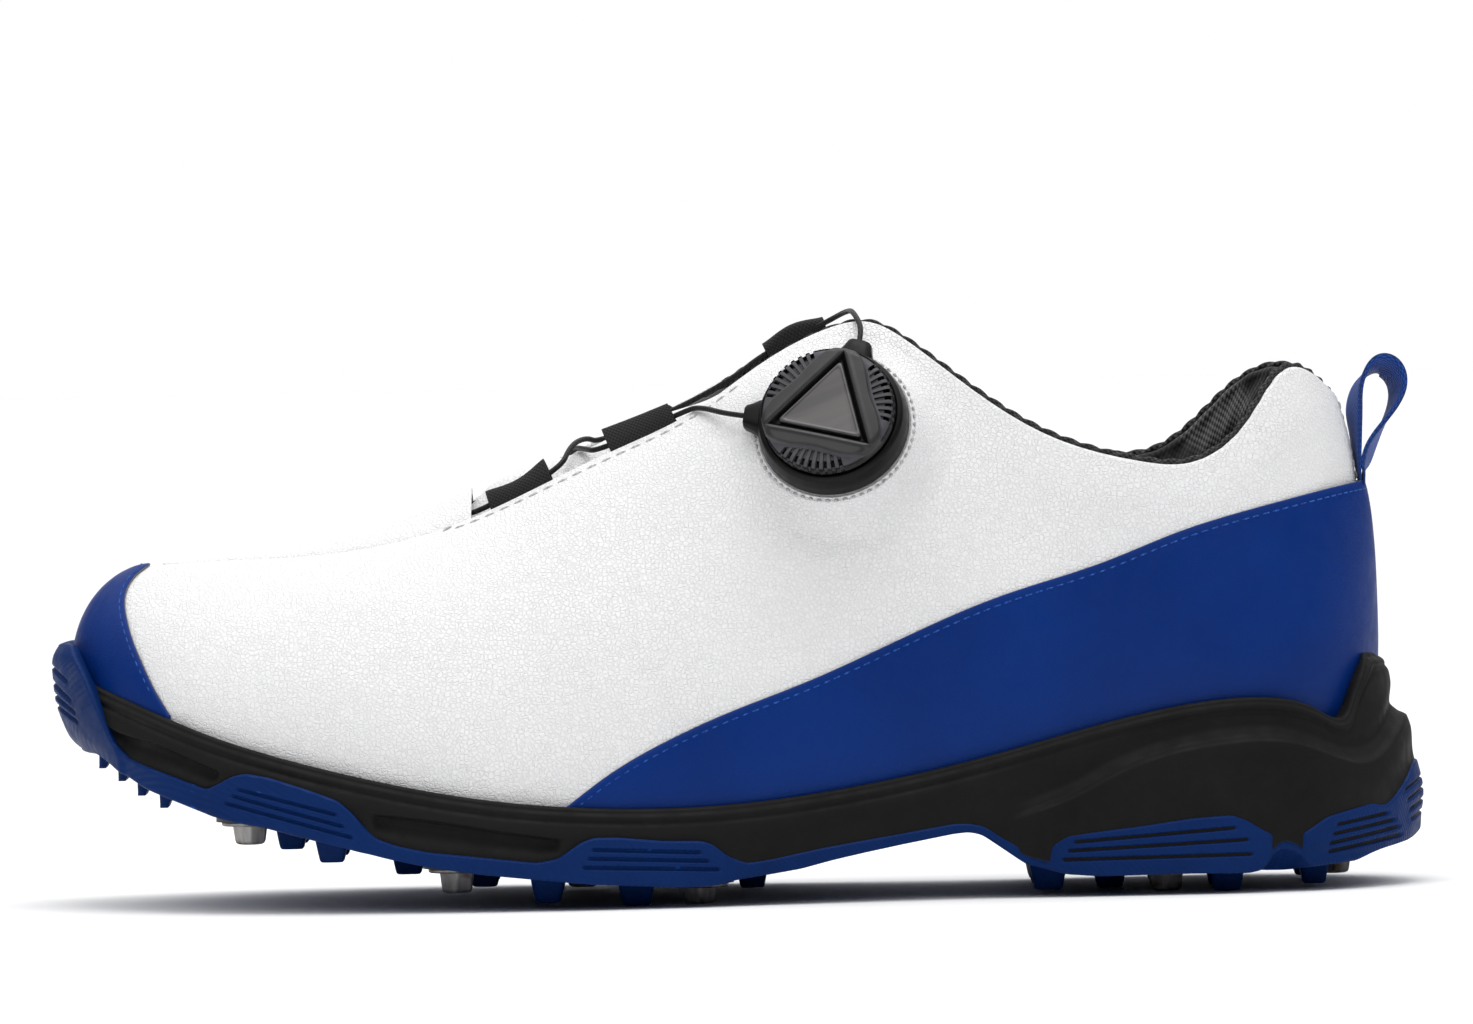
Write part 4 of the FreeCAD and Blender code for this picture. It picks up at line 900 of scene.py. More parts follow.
def make_tongue(paint):
    """The padded tongue: white leather on top, dark lining below, quilted along its middle."""
    s = np.linspace(2.86, 5.45, 150)[:, None]
    t = np.linspace(-1, 1, 91)[None]
    s_full, t_full = np.broadcast_arrays(s, t)
    end = np.sqrt(np.clip(1 - np.abs((s_full - 4.155) / 1.295) ** 14, 0, 1))
    side = np.sqrt(np.clip(1 - np.abs(t_full) ** 16, 0, 1))
    thick = 2.2 * (0.25 + 0.75 * end * side)
    puff = 0.35 * np.sin(np.clip((np.abs(t_full) - 0.08) / 0.42, 0, 1) * math.pi) * end
    top = tongue_point(s_full, t_full, 2.2 - thick - puff)
    bottom = tongue_point(s_full, t_full, 2.2 + thick)
    grid = sections(top, bottom, steps=5)
    faces, uv = grid_data(grid, closed_v=True)
    nu, nv = grid.shape[:2]
    row = np.tile(np.arange(nv), nu - 1)
    under = ((row > top.shape[1] + 2) & (row < nv - 3)).astype(int)
    faces += end_faces(nu, nv)
    tongue = add_mesh("tongue_padded", grid.reshape(-1, 3), faces, uv,
                      materials=[paint["white_leather"], paint["lining_plain"]],
                      face_materials=np.concatenate([under, [1, 1]]), slot="white_leather",
                      smooth_angle=60)
    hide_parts("tongue", "tongue_foam", "tongue_lining")


def panel_stitches(name, s, top, lift, paint):
    """Blue stitches 1.5 mm inside a panel's upper edge."""
    step = np.linalg.norm(last(s, top) - last(s, top - 0.02), axis=-1)
    path, out = surface_path(s, top - 0.02 * 1.5 / step, lift)
    add_stitches(name, path, out, paint["thread_blue"], pitch=2.4, share=0.7, width=0.18,
                 rise=0.05, slot="blue_leather")


def make_upper_stitches(paint):
    for name, low, high in (("lateral", 3.02, 4.78), ("medial", 14.98, 13.22)):
        s = np.linspace(low, high, 260)
        path, out = surface_path(s, edge_v(s, 2.3), 0.02)
        add_stitches(f"throat_stitches_{name}", path, out, paint["thread"], pitch=3.4,
                     width=0.3)
    for name, side in (("lateral", 8.93), ("medial", 9.07)):
        v = np.linspace(0.74, 0.99, 40)
        path, out = surface_path(side + 0 * v, v, 0.35)
        add_stitches(f"heel_seam_stitches_{name}", path, out, paint["thread"], pitch=2.6,
                     width=0.26)
    for name, low, high in (("lateral", 3.46, 8.9), ("medial", 14.54, 9.1)):
        s = np.linspace(low, high, 500)
        top = quarter_top(s)
        lift = 0.98 + 1.14 * near_heel(s, 0.5)
        panel_stitches(f"overlay_stitches_{name}", s, top, lift[:, None], paint)
    s = np.linspace(-1.1, 1.1, 200)
    panel_stitches("toe_cap_stitches", s, toe_cap_top(s), 0.98, paint)
    for name, s in (("lateral", 2.99), ("medial", 15.01)):
        s = np.full(24, s) + np.linspace(-0.03, 0.03, 24)
        v = edge_v(s, 1.6) + np.linspace(0, 0.02, 24)
        path, out = surface_path(s, v, 0.05)
        add_stitches(f"bartack_{name}", path, out, paint["thread"], pitch=1.3, share=0.9,
                     width=0.4, rise=0.2)


def make_vamp_lining(paint):
    """The lining under the vamp strip."""
    s = np.linspace(0.42, 2.8, 60)[:, None]
    t = np.linspace(0, 1, 25)[None]
    a, b = top_line(s), top_line(AROUND - s)
    skins = []
    for depth in (2.95, 3.95):
        up = (strip_rise(s) * (1 - (2 * t - 1) ** 2) - depth)[..., None] * UP
        skins.append(a + (b - a) * (0.06 + 0.88 * t)[..., None] + up)
    lining = add_grid("vamp_lining_knit", sections(*skins, steps=3), closed_v=True, caps=True,
                      materials=[paint["lining_plain"]], slot="lining_knit", smooth_angle=60)
    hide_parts("vamp_lining")


# ---------------------------------------------------------------- the sole

SOLE_FLARE = [(0, 6.0), (1, 5.7), (2, 5.6), (3, 5.6), (4, 5.6), (5, 5.8), (6, 6.0), (7, 6.5),
              (8, 8.2), (9, 11.0)]
# Edges of the sole in side view, from measured points: rows of x, z.
LIP = [
    (-141.0, 48.6), (-134.0, 45.7), (-123.0, 41.2), (-112.0, 37.1), (-101.0, 33.7), (-79.0, 28.1),
    (-49.0, 22.7), (-32.0, 21.2), (0.0, 21.2), (24.0, 24.0), (53.6, 30.0), (86.0, 38.4),
    (104.0, 41.3), (118.0, 41.2), (127.0, 38.6), (132.0, 36.4), (135.4, 38.2), (139.0, 45.0),
    (142.9, 50.0),
]
TREAD = [
    (-143.5, 36.0), (-138.0, 31.5), (-130.0, 27.6), (-121.4, 24.4), (-102.0, 18.6), (-76.0, 12.2),
    (-57.0, 8.5), (-35.0, 5.9), (-12.0, 4.8), (4.0, 6.2), (20.0, 9.4), (35.0, 12.6), (47.0, 14.6),
    (53.0, 13.8), (60.0, 9.2), (68.0, 5.6), (80.0, 4.8), (108.0, 4.8), (126.0, 5.4), (140.0, 8.2),
    (147.0, 12.0), (149.6, 18.8),
]
# Upper and lower edge of the blue rubber at the side.
RUBBER_TOP = [
    (-151.0, 57.4), (-148.0, 58.4), (-146.2, 58.2), (-142.9, 53.7), (-140.8, 48.6), (-139.1, 43.7),
    (-137.5, 37.7), (-135.1, 33.7), (-131.2, 32.3), (-123.1, 29.7), (-115.4, 27.0), (-112.5, 28.2),
    (-109.4, 29.9), (-106.5, 30.5), (-101.0, 29.5), (-92.9, 26.9), (-86.4, 24.5), (-83.1, 21.6),
    (-81.0, 18.9), (-78.4, 16.2), (-74.0, 14.6), (-67.2, 13.1), (-55.5, 11.8), (-43.6, 10.4),
    (-39.0, 11.2), (-34.1, 14.6), (-31.2, 15.6), (-25.9, 15.5), (-16.4, 14.5), (-8.3, 14.3),
    (-5.9, 13.6), (-2.4, 10.7), (1.7, 9.2), (7.1, 9.9), (18.3, 12.0), (35.4, 14.6), (46.7, 16.4),
    (50.0, 16.4), (53.3, 15.7), (57.9, 12.6), (62.2, 10.6), (65.5, 10.4), (68.4, 11.5),
    (71.3, 13.3), (85.7, 14.8), (98.5, 16.5), (106.9, 17.0), (110.2, 15.8), (114.1, 13.3),
    (116.3, 12.4), (121.8, 12.2), (124.5, 13.8), (127.6, 15.9), (137.4, 18.4), (140.7, 17.6),
    (142.7, 19.6), (146.5, 23.9), (148.4, 26.5), (152.0, 27.2),
]
RUBBER_BOTTOM = [
    (-144.0, 34.6), (-138.0, 31.0), (-130.0, 27.2), (-121.4, 24.2), (-114.9, 21.8), (-110.0, 20.4),
    (-102.1, 19.0), (-75.6, 12.0), (-67.9, 10.3), (-56.7, 8.5), (-51.4, 7.9), (-32.0, 5.8),
    (-12.4, 4.7), (-5.4, 4.8), (-0.1, 6.0), (5.9, 6.8), (13.4, 7.9), (20.5, 9.6), (27.4, 11.0),
    (35.4, 12.5), (46.7, 14.5), (50.0, 14.8), (52.8, 14.2), (56.1, 11.9), (62.2, 7.6),
    (70.9, 5.2), (78.4, 4.6), (98.3, 4.8), (110.6, 4.6), (113.9, 5.2), (116.0, 8.2),
    (118.2, 9.8), (121.7, 8.6), (124.3, 5.4), (135.4, 6.3), (141.1, 8.4), (147.6, 9.8),
    (148.9, 11.2), (152.0, 13.0),
]
# The sole's outline in side view at the toe and at the heel: rows of z, x.
TOE_LEAN = [(30.0, -141.0), (33.9, -142.6), (35.7, -144.8), (40.0, -147.6), (45.0, -149.3),
            (50.6, -149.9), (56.1, -149.4), (58.7, -147.6), (62.0, -145.0)]
HEEL_LEAN = [(8.0, 147.0), (10.8, 148.9), (14.1, 149.4), (18.8, 150.0), (23.2, 149.6),
             (27.2, 148.6), (30.9, 147.8), (36.2, 146.6), (38.9, 145.6), (44.7, 145.4),
             (48.2, 144.6), (50.5, 142.8)]
TOE_SCOOP = [(-138.6, 41.4), (-137.6, 40.6), (-134.0, 39.0), (-127.1, 37.3), (-118.4, 33.8),
             (-112.0, 31.0)]
FORE_SCOOP = [(-79.5, 21.8), (-67.0, 20.3), (-49.4, 17.3), (-37.8, 15.6)]
SWOOSH = [(56.0, 16.2), (59.7, 18.0), (72.8, 22.8), (81.3, 27.2), (92.4, 31.4), (105.5, 33.8),
          (115.2, 34.3), (123.6, 32.8), (131.2, 29.7), (136.9, 28.7), (140.9, 30.9),
          (143.7, 34.3), (146.0, 37.6), (150.0, 41.0)]
# Grooves in the rubber's side panels: start and end of each, x and z.
PANEL_GROOVES = [
    ((-108.3, 27.4), (-86.4, 21.6)), ((-109.7, 26.0), (-84.9, 19.0)), ((-111.0, 24.4), (-83.0, 16.6)),
    ((-31.9, 13.2), (-8.1, 12.0)), ((-32.8, 11.3), (-6.4, 10.1)), ((-34.0, 9.4), (-4.2, 8.2)),
    ((72.6, 12.0), (108.0, 14.4)), ((71.3, 10.1), (110.8, 11.8)), ((69.9, 8.2), (111.6, 8.6)),
    ((129.5, 14.2), (141.5, 16.2)), ((128.6, 12.2), (143.0, 14.6)), ((127.8, 10.2), (144.0, 13.0)),
    ((127.4, 8.4), (144.6, 11.2)),
    ((145.0, 20.6), (152.0, 24.4)), ((145.6, 18.4), (152.0, 22.0)), ((146.0, 16.2), (152.0, 19.4)),
    ((146.4, 14.2), (152.0, 16.8)),
    ((-152.0, 54.6), (-145.8, 50.0)), ((-152.0, 51.4), (-145.0, 45.8)),
    ((-152.0, 48.6), (-144.1, 43.2)), ((-152.0, 46.4), (-143.6, 41.2)),
]
sole_flare = spline(both_sides(SOLE_FLARE), AROUND)
lip_height = spline(LIP)
tread_height = spline(TREAD)
toe_lean, heel_lean = spline(TOE_LEAN), spline(HEEL_LEAN)
swoosh_height = spline(SWOOSH)


def profile(rows, blur=0.7):
    """A height along x through rows, straight between them with softened corners."""
    rows = np.array(rows, float)
    x = np.arange(rows[0, 0] - 5, rows[-1, 0] + 5, 0.1)
    z = np.interp(x, rows[:, 0], rows[:, 1])
    kernel = np.exp(-0.5 * (np.arange(-30, 31) * 0.1 / blur) ** 2)
    padded = np.concatenate([np.full(30, z[0]), z, np.full(30, z[-1])])
    z = np.convolve(padded, kernel / kernel.sum(), "valid")
    return lambda at: np.interp(at, x, z)


rubber_top, rubber_bottom = profile(RUBBER_TOP), profile(RUBBER_BOTTOM)


def wall(s, z, more=0.0):
    """A point of the sole's side at height z, leaning in at the toe and the heel."""
    s, z, more = np.broadcast_arrays(np.asarray(s, float), np.asarray(z, float),
                                     np.asarray(more, float))
    edge, flare = sole_edge(s), sole_flare(s)
    m = mirror_s(s)
    point = np.concatenate([edge, z[..., None]], -1) + outward(s) * (flare + more)[..., None]
    toe = bump(m, 0.0, 0.75) * (toe_lean(z) + 149.5)
    heel = bump(m, HEEL, 0.9) * (heel_lean(z) - 149.5)
    point[..., 0] += toe + heel
    return point


def plan_x(s):
    """x of the sole's side before it leans."""
    return sole_edge(s)[..., 0] + outward(s)[..., 0] * sole_flare(s)


def lip_z(s):
    """Height of the foam's upper edge."""
    return lip_height(plan_x(s) * 0.985)


def rubber_low(s):
    """Height of the rubber's lower edge."""
    return rubber_bottom(np.clip(plan_x(s), RUBBER_BOTTOM[0][0], RUBBER_BOTTOM[-1][0]))


def scoop(x, z, rows, low, high):
    """1 deep under the scoop's upper edge, fading towards the rubber below."""
    top = spline(rows)(np.clip(x, low, high))
    inside = smooth(low - 0.4, low + 1.6, x) * (1 - smooth(high - 2.4, high, x))
    bottom = rubber_top(x) + 0.6
    share = (top - z) / np.maximum(top - bottom, 1.0)
    return inside * smooth(-0.02, 0.16, share) * (1 - smooth(0.35, 1.0, share) * 0.85)


def midsole_relief(s, z):
    """How far the foam stands out of its plain side."""
    x = wall(s, z)[..., 0]
    top = lip_z(s)
    below = top - z
    relief = 0.40 * bump(below, 0.9, 0.75) - 0.34 * bump(below, 2.3, 0.55)
    relief -= 1.15 * smooth(2.0, 0.0, below) * 0.4
    relief -= 2.0 * scoop(x, z, TOE_SCOOP, -138.4, -112.0)
    relief -= 1.9 * scoop(x, z, FORE_SCOOP, -79.2, -37.8)
    ridge = swoosh_height(x)
    under = ridge - z
    active = smooth(57.0, 66.0, x)
    relief += active * (1.5 * smooth(-0.2, 1.4, under) * (1 - 0.55 * smooth(4.0, 13.0, under)))
    relief -= active * 1.0 * (1 - smooth(-2.6, 0.4, under)) * smooth(-7.5, -2.0, under)
    arch = bump(x, 18.0, 46.0)
    relief -= 0.7 * arch * smooth(0.0, 6.0, below) * (1 - smooth(6.0, 12.0, below))
    return relief


def panel_relief(s, z):
    """How far the rubber stands out: panels proud, bands nearly flush, grooves cut in."""
    x = wall(s, z)[..., 0]
    top = rubber_top(plan_x(s))
    bottom = rubber_low(s)
    tall = smooth(4.2, 6.4, top - bottom)
    relief = 0.45 + 0.75 * tall
    cut = np.zeros_like(x)
    for (x0, z0), (x1, z1) in PANEL_GROOVES:
        along = np.clip((x - x0) / (x1 - x0), 0, 1)
        line = z0 + (z1 - z0) * along
        inside = smooth(x0 - 0.3, x0 + 0.9, x) * (1 - smooth(x1 - 0.9, x1 + 0.3, x))
        cut = np.maximum(cut, inside * np.exp(-(((z - line) / 0.42) ** 4)))
    return relief - 0.75 * cut


def plate(name, grid, **more):
    """A closed plate from sections round the shoe, its first and last rows bridged across."""
    count, rows = grid.shape[:2]
    faces, uv = grid_data(grid, closed_u=True)
    for row, flip in ((0, False), (rows - 1, True)):
        for i in range(count // 2):
            corners = [i, i + 1, (count - i - 1) % count, (count - i) % count]
            corners = list(dict.fromkeys(corners))
            face = [k * rows + row for k in corners]
            faces.append(face[::-1] if flip else face)
    return add_mesh(name, grid.reshape(-1, 3), faces, uv, **more)


def make_midsole(paint):
    count = 1600
    s = (np.arange(count) * AROUND / count)[:, None]
    low = rubber_low(s) + 1.6
    high = lip_z(s)
    share = rows_v(96, 1.25)[None]
    z = low + (high - low) * share
    relief = midsole_relief(s, z)
    lean_in = 1.4 * smooth(0.55, 1.0, share)
    outer = wall(s, z, relief - lean_in)
    inward = outward(s)
    rim = []
    for turn in np.linspace(0, math.pi / 2, 7)[1:]:
        back = outer[:, -1:] - inward * 1.1 * (1 - math.cos(turn))
        rim.append(back + UP * 0.9 * math.sin(turn))
    foot = sole_edge(s)
    cup_edge = np.concatenate([foot, high[..., None]], -1) + inward * 1.2
    cup_edge[..., 2] = high + 0.2
    floor = np.concatenate([foot, floor_height(foot[..., 0])[..., None]], -1) + inward * 0.8
    floor[..., 2] -= 0.2
    under = wall(s, low, -7.0)
    under[..., 2] = low + 3.0
    grid = np.concatenate([under, outer, *rim, cup_edge, floor], 1)
    midsole = plate("midsole_foam", grid, materials=[paint["black_foam"]], slot="black_foam",
                    smooth_angle=62)
    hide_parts("midsole")


def make_outsole(paint):
    count = 2000
    s = (np.arange(count) * AROUND / count)[:, None]
    x = plan_x(s)
    low = rubber_low(s)
    high = np.maximum(rubber_top(x), low + 1.2)
    share = np.linspace(0, 1, 64)[None]
    z = low + 0.5 + (high - low - 0.9) * share
    outer = wall(s, z, panel_relief(s, z))
    out = outward(s)
    turns = np.linspace(0, math.pi / 2, 6)
    bottom = [outer[:, :1] - out * 1.0 * (1 - math.cos(t)) - UP * 0.7 * math.sin(t)
              for t in turns[:0:-1]]
    top = [outer[:, -1:] - out * 0.9 * (1 - math.cos(t)) + UP * 0.6 * math.sin(t)
           for t in turns[1:]]
    inner_x = np.clip(x * 0.965, -143.5, 146.0)
    inner_low = tread_height(inner_x)
    inner = wall(s, inner_low, -6.5)
    inner[..., 2] = inner_low
    back_top = top[-1] - out * 1.4 - UP * 1.0
    inner_top = inner + UP * 2.2
    grid = np.concatenate([inner, *bottom, outer, *top, back_top, inner_top], 1)
    outsole = plate("outsole_rubber", grid, materials=[paint["blue_rubber"]], slot="blue_rubber",
                    smooth_angle=62)
    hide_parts("outsole")


def half_width(x, side):
    """y of the sole edge at x on the lateral (-1) or medial (1) side."""
    s = np.linspace(0.02, 8.9, 600) if side < 0 else np.linspace(17.98, 9.1, 600)
    edge = sole_edge(s)
    return float(np.interp(x, edge[:, 0], edge[:, 1]))


def place_across(x, fraction):
    x = min(max(x, -141.0), 136.0)
    lateral, medial = half_width(x, -1), half_width(x, 1)
    return (lateral + medial) / 2 + fraction * (medial - lateral) / 2


# Lugs under the sole: x, height of the tip, length, width, and places across the sole.
LUG_ROWS = [
    (-139.2, 30.4, 3.0, 13.0, (0.0,)), (-134.8, 27.6, 3.2, 17.0, (0.0,)),
    (-129.8, 24.9, 3.4, 15.0, (-0.5, 0.5)), (-124.6, 22.4, 3.6, 13.0, (-0.62, 0.62)),
    (-98.0, 12.6, 7.0, 8.0, (-0.34, 0.3, 0.8)), (-88.5, 10.6, 7.0, 9.0, (-0.78, -0.1)),
    (-72.6, 6.4, 7.4, 9.0, (-0.76, -0.2, 0.28)), (-56.0, 3.1, 7.4, 9.0, (-0.1, 0.42, 0.82)),
    (-41.6, 1.2, 7.4, 9.0, (-0.8, -0.3, 0.14)), (-22.4, 0.0, 8.0, 9.0, (-0.76, -0.2, 0.35, 0.82)),
    (2.8, 1.6, 7.0, 10.0, (-0.78, 0.0, 0.78)), (67.4, 1.0, 8.0, 11.0, (-0.68, 0.0, 0.68)),
    (81.6, 0.0, 7.6, 8.0, (-0.76, 0.0, 0.76)), (106.4, 0.0, 7.6, 8.0, (-0.74, 0.0, 0.74)),
    (125.8, 0.8, 6.6, 8.0, (-0.66, 0.66)), (139.0, 4.2, 6.0, 9.0, (-0.5, 0.5)),
]
# Tapered bodies, from root to tip: share of the height, scale, softness of the corners.
LUG_TAPER = ((0.0, 1.14, 1.0), (0.12, 1.03, 1.0), (0.82, 0.80, 1.0), (0.94, 0.74, 1.0),
             (0.99, 0.66, 0.9), (1.0, 0.54, 0.7))
STUD_TAPER = ((0.0, 1.02, 0.7), (0.05, 1.0, 0.55), (0.80, 0.88, 0.5), (0.91, 0.82, 0.8),
              (0.975, 0.70, 1.2), (1.0, 0.50, 1.2))
STUD_ACROSS = 7.4
TOOTH_ROWS = 4
# Studs: x, y and height of the tip.
CLEATS = [
    (-106.6, -24.0, 14.4), (-80.3, 31.0, 9.0), (-61.4, -34.0, 3.4), (-35.0, 31.0, 0.6),
    (-8.6, -33.0, 0.0), (93.3, -19.0, 0.0), (94.0, 19.0, 0.0), (131.1, 0.0, 2.0),
]


def rounded_polygon(corners, radius, steps=4):
    """Points round a convex polygon with rounded corners."""
    corners = [np.array(c, float) for c in corners]
    out = []
    for before, corner, after in zip(corners[-1:] + corners[:-1], corners, corners[1:] + corners[:1]):
        start = corner + unit(before - corner) * radius
        end = corner + unit(after - corner) * radius
        for t in np.linspace(0, 1, steps):
            out.append((1 - t) ** 2 * start + 2 * t * (1 - t) * corner + t * t * end)
    return np.array(out)


def stack(loops):
    """Points and faces of a closed body from loops of equal length, first loop at the top."""
    grid = np.array(loops).transpose(1, 0, 2)
    faces, _ = grid_data(grid, closed_u=True)
    count, rows = grid.shape[:2]
    faces.append([k * rows for k in range(count)][::-1])
    faces.append([k * rows + rows - 1 for k in range(count)])
    return grid.reshape(-1, 3), faces


def join(bodies):
    points, faces = [], []
    for some_points, some_faces in bodies:
        first = len(points)
        points += np.asarray(some_points).tolist()
        faces += [[k + first for k in face] for face in some_faces]
    return points, faces


def make_lugs(paint):
    """Tapered lugs with softened tips, and four saw teeth under the toe."""
    bodies = []
    for row, (x, tip, length, width, places) in enumerate(LUG_ROWS):
        tooth = row < TOOTH_ROWS
        for fraction in places:
            y = place_across(x, fraction)
            if any(math.hypot(cx - x, cy - y) < 13.5 for cx, cy, _ in CLEATS):
                continue
            root = float(tread_height(x)) + 1.4
            rise = root - tip
            slant = 1.1 if tooth else 0.0
            loops = []
            for share, scale, soft in LUG_TAPER:
                a, b = length / 2 * scale, width / 2 * scale
                a *= 0.72 if tooth and share > 0.5 else 1.0
                ring = rounded_polygon([(-a, -b), (a, -b), (a, b), (-a, b)],
                                       min(1.3, a * 0.7) * soft, 5)
                loops.append([(x + p[0] - slant * share, y + p[1], root - rise * share)
                              for p in ring])
            bodies.append(stack(loops))
    points, faces = join(bodies)
    add_mesh("outsole_lugs", points, faces, materials=[paint["blue_rubber"]], slot="blue_rubber",
             smooth_angle=48)


def make_studs(paint):
    """Screw-in studs: a hexagonal tapered foot with a rounded tip, on a round flange."""
    for number, (x, y, tip) in enumerate(CLEATS, 1):
        z = float(tread_height(x))
        flange = z - 1.3
        corner = STUD_ACROSS / math.sqrt(3)
        rise = flange + 0.2 - tip
        loops = []
        for share, scale, soft in STUD_TAPER:
            ring = rounded_polygon(
                [(corner * scale * math.cos(math.radians(60 * i + 30)),
                  corner * scale * math.sin(math.radians(60 * i + 30))) for i in range(6)],
                soft, 5)
            loops.append([(x + p[0], y + p[1], flange + 0.2 - rise * share) for p in ring])
        angle = np.linspace(0, TAU, 48, endpoint=False)

        def circle(radius, height):
            return [(x + radius * math.cos(a), y + radius * math.sin(a), height) for a in angle]

        disc = [circle(3.0, flange + 5.2), circle(3.0, flange + 0.9), circle(5.9, flange + 0.88),
                circle(6.2, flange + 0.66), circle(6.2, flange + 0.3), circle(5.9, flange + 0.02),
                circle(5.2, flange - 0.05)]
        points, faces = join([stack(loops), stack(disc)])
        stud = add_mesh(f"cleat_{number}_stud", points, faces, materials=[paint["stud"]],
                        slot="stud_grey", smooth_angle=35)
        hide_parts(f"cleat_{number}")


def make_footbed(paint):
    """The sock liner: a soft board cupped at its rim, deeper at the heel."""
    s = np.linspace(0.04, 8.96, 240)[:, None]
    t = np.linspace(-1, 1, 81)[None]
    skins = []
    for low in (5.6, 1.9):
        a = sole_edge(s) - outward(s)[..., :2] * 4.8
        b = sole_edge(AROUND - s) - outward(AROUND - s)[..., :2] * 4.8
        place = a + (b - a) * ((1 + t) / 2)[..., None]
        z = floor_height(place[..., 0]) + low
        if low > 3:
            heel = smooth(3.5, 7.5, s + 0 * t)
            z = z + (0.5 + 2.3 * heel) * np.abs(t) ** 7 - 0.5 * heel * (1 - t**2)
            z = z + 1.6 * bump(s, 5.2, 1.1) * smooth(0.1, 1.0, t)
        skins.append(np.concatenate([place, z[..., None]], -1))
    liner = add_grid("sock_liner_cloth", sections(*skins, steps=5), closed_v=True, caps=True,
                     materials=[paint["footbed"]], slot="liner_foam", smooth_angle=60)
    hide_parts("sock_liner")


# ---------------------------------------------------------------- the dial

DIAL_BASE = np.array([22.798, -30.461, 102.929])
DIAL_AXIS = unit(np.array([-0.17, -0.88, 0.44]))
DIAL_X = unit(np.array([1.0, 0, 0]) - DIAL_AXIS * DIAL_AXIS[0])
DIAL_Y = np.cross(DIAL_AXIS, DIAL_X)
KNOB_TOP, KNOB_FACE, KNOB_ROUND = 11.4, 13.0, 1.6  # top, flat radius, rim radius
HOUSING_SIDES = 240
PAD_SIDES, PAD_REACH, PAD_START, STITCH_RADIUS = 360, 25.5, 12.0, 17.6


def on_dial(local):
    """Points of the dial's own frame, z along its axis, in the shoe's frame."""
    local = np.asarray(local, float)
    return (DIAL_BASE + local[..., 0:1] * DIAL_X + local[..., 1:2] * DIAL_Y
            + local[..., 2:3] * DIAL_AXIS)


def merge_points(obj):
    """Joins the points that a lathe leaves on its axis."""
    work = bmesh.new()
    work.from_mesh(obj.data)
    bmesh.ops.remove_doubles(work, verts=work.verts, dist=2e-6)
    work.to_mesh(obj.data)
    work.free()
    return obj


def triangle_distance(x, y, reach):
    """Signed distance outside a triangle whose corners point to 72, 192 and 312 degrees."""
    found = None
    for angle in (252.0, 12.0, 132.0):
        a = math.radians(angle)
        d = x * math.cos(a) + y * math.sin(a) - reach / 2
        found = d if found is None else np.maximum(found, d)
    return found


def make_knob(paint):
    """The knob: a three-armed hub round a sunk triangle, with ribbed grips between the arms."""
    count = 1080
    theta = (np.arange(count) * TAU / count)[:, None]
    turn = np.linspace(0, 1, 26)[1:] * math.pi / 2
    r = np.concatenate([np.linspace(0, KNOB_FACE, 150), KNOB_FACE + KNOB_ROUND * np.sin(turn)])[None]
    sector = np.abs((np.degrees(theta) - 12 + 60) % 120 - 60)
    x, y = r * np.cos(theta), r * np.sin(theta)
    edge = np.clip((r - KNOB_FACE) / KNOB_ROUND, 0, 1)
    top = KNOB_TOP - 0.35 * (r / KNOB_FACE) ** 2 - 1.5 * (1 - np.sqrt(np.clip(1 - edge**2, 0, 1)))
    lobe = np.cos(np.clip(sector / 56.0, 0, 1) * math.pi / 2) ** 1.1
    start = 14.9 - 5.5 * lobe
    crescent = smooth(0.0, 0.8, r - start)
    top = top - 1.15 * crescent
    slot = smooth(-0.1, 0.3, np.cos(TAU * (sector / 7.2)))
    slot = slot * (1 - smooth(30.0, 32.5, sector)) * smooth(0.9, 1.3, r - start)
    top = top - 1.2 * slot
    d = triangle_distance(x, y, 13.7)
    top = top - 1.35 * smooth(0.15, -1.15, d) + 0.16 * bump(d, 0.55, 0.4)
    surface = np.stack(np.broadcast_arrays(x, y, top), -1)
    rim_slot = slot[:, -1:]
    wall_z = np.array([9.2, 8.6, 8.0, 7.4, 7.05])[None]
    wall_r = 14.6 - 0.55 * rim_slot * np.ones_like(wall_z)
    side = around_axis(wall_r, theta, wall_z)
    under = [around_axis(radius, theta, height) for radius, height in
             ((14.35, 6.8), (14.0, 6.75), (12.6, 6.75), (12.6, 9.55), (0.0, 9.6))]
    grid = np.concatenate([surface, side, *under], 1)
    zone = np.zeros((count, grid.shape[1] - 1), int)
    rings = r.shape[1] - 1
    # painted shade: the grip slots take the near-black housing plastic; the sunk triangle round the
    # badge takes it too
    zone[:, :rings] = np.where(slot[:, 1:] > 0.4, 2, np.where(crescent[:, 1:] > 0.5, 1, 0))
    zone[:, :rings] = np.where(d[:, 1:] < -0.1, 2, zone[:, :rings])
    knob = add_grid("knob_shell", on_dial(grid), closed_u=True,
                    materials=[paint["dial"], paint["dial_grip"], paint["dial_dark"]],
                    face_materials=zone.ravel(), body="knob", slot="dial_black")
    merge_points(knob)
    knob.data.set_sharp_from_angle(angle=math.radians(50))
    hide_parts("knob", "knob_grip")


def make_badge(paint):
    """A plain triangular plate in the knob's recess."""
    corners = [(math.cos(math.radians(a)), math.sin(math.radians(a))) for a in (72, 192, 312)]
    loops = []
    for reach, height in ((11.3, 10.0), (11.3, 10.7), (11.1, 10.95), (10.7, 11.06), (10.2, 11.06),
                          (9.9, 10.94), (9.6, 10.92)):
        ring = rounded_polygon([(c[0] * reach, c[1] * reach) for c in corners], 1.3, 8)
        loops.append([(p[0], p[1], height) for p in ring])
    points, faces = stack(loops)
    badge = add_mesh("badge_plate", on_dial(points), [f[::-1] for f in faces],
                     materials=[paint["badge"]], body="knob", slot="badge_grey", smooth_angle=40)
    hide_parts("dial_badge")


